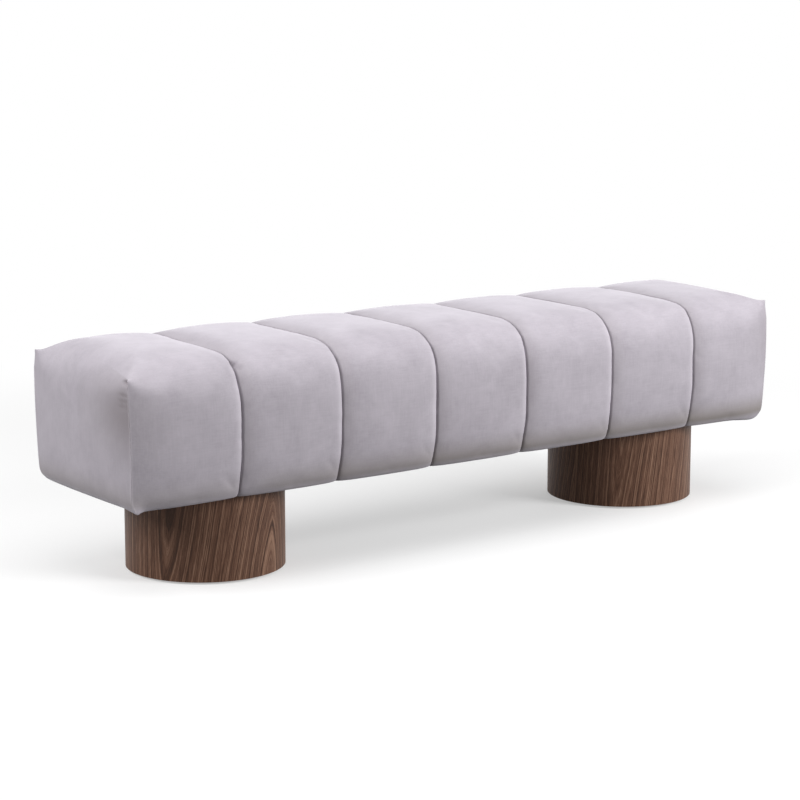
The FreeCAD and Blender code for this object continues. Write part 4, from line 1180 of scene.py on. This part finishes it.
FLOOR_SIZE = 40
SHADOW_FROM, SHADOW_TO, SHADOW_LIFT = 1.0, 2.2, 0.4
deselect()
bpy.ops.mesh.primitive_plane_add(size=FLOOR_SIZE, location=(0, 0, 0))
floor = bpy.context.object
floor.name = "studio_floor"
floor_finish, tree, shader, place = start_finish("studio_paper_matt")
away = add(tree, "ShaderNodeVectorMath", {0: place}, operation="LENGTH").outputs["Value"]
far = add(tree, "ShaderNodeMapRange", {
    "Value": away, "From Min": SHADOW_FROM, "From Max": SHADOW_TO, "To Min": SHADOW_LIFT},
    interpolation_type="SMOOTHSTEP").outputs["Result"]
seen = seen_directly(tree)
whitened = add(tree, "ShaderNodeMath", {0: far, 1: seen}, operation="MULTIPLY").outputs[0]
glow = add(tree, "ShaderNodeEmission", {"Color": linear("#ffffff"), "Strength": 1.0}).outputs["Emission"]
paper = add(tree, "ShaderNodeMixShader", {0: whitened, 1: shader.outputs["BSDF"], 2: glow}).outputs[0]
below = add(tree, "ShaderNodeNewGeometry").outputs["Backfacing"]
clear = add(tree, "ShaderNodeBsdfTransparent").outputs["BSDF"]
one_sided = add(tree, "ShaderNodeMixShader", {0: below, 1: paper, 2: clear}).outputs[0]
fill(tree, tree.nodes["Material Output"], {"Surface": one_sided})
paper_colour = add(tree, "ShaderNodeMix", {
    "Factor": seen, "A": linear("#606060"), "B": linear("#f6f6f6")}, data_type="RGBA").outputs["Result"]
# Matt paper: white where it is looked at, and grey for the light that it throws back
fill(tree, shader, {"Base Color": paper_colour, "Roughness": 0.9})
dress(floor, floor_finish)
print("floor", FLOOR_SIZE, "m wide")

# %% Sky and lamps
SKY_LIGHT = 0.3
world = bpy.data.worlds.new("studio_sky")
bpy.context.scene.world = world
world.use_nodes = True
tree = world.node_tree
tree.nodes.clear()
lit = add(tree, "ShaderNodeBackground", {"Color": linear("#ffffff"), "Strength": SKY_LIGHT}).outputs[0]
white = add(tree, "ShaderNodeBackground", {"Color": linear("#ffffff"), "Strength": 1.0}).outputs[0]
sky = add(tree, "ShaderNodeMixShader", {0: seen_directly(tree), 1: lit, 2: white}).outputs[0]
add(tree, "ShaderNodeOutputWorld", {"Surface": sky})


def softbox(name, place, aim, size, watts):
    """A rectangular lamp at a place, aimed at a point of the bench."""
    lamp = bpy.data.lights.new(name, "AREA")
    lamp.shape = "RECTANGLE"
    lamp.size, lamp.size_y = size
    lamp.energy = watts
    box = bpy.data.objects.new(name, lamp)
    box.location = place
    box.rotation_euler = (Vector(aim) - Vector(place)).to_track_quat("-Z", "Y").to_euler()
    bpy.context.scene.collection.objects.link(box)


softbox("overhead", (-0.1, -0.45, 2.5), (0, -0.05, 0.4), (3.6, 1.8), 32)
softbox("key", (2.1, -3.3, 1.9), (0.1, 0, 0.3), (1.6, 1.6), 150)
softbox("fill", (-3.0, 0.3, 2.0), (-0.5, 0, 0.35), (1.8, 1.5), 68)
softbox("back", (3.3, 2.6, 1.3), (0, 0, 0.25), (2.0, 1.2), 26)
bpy.context.scene.view_settings.view_transform = "Standard"
print("studio ready")
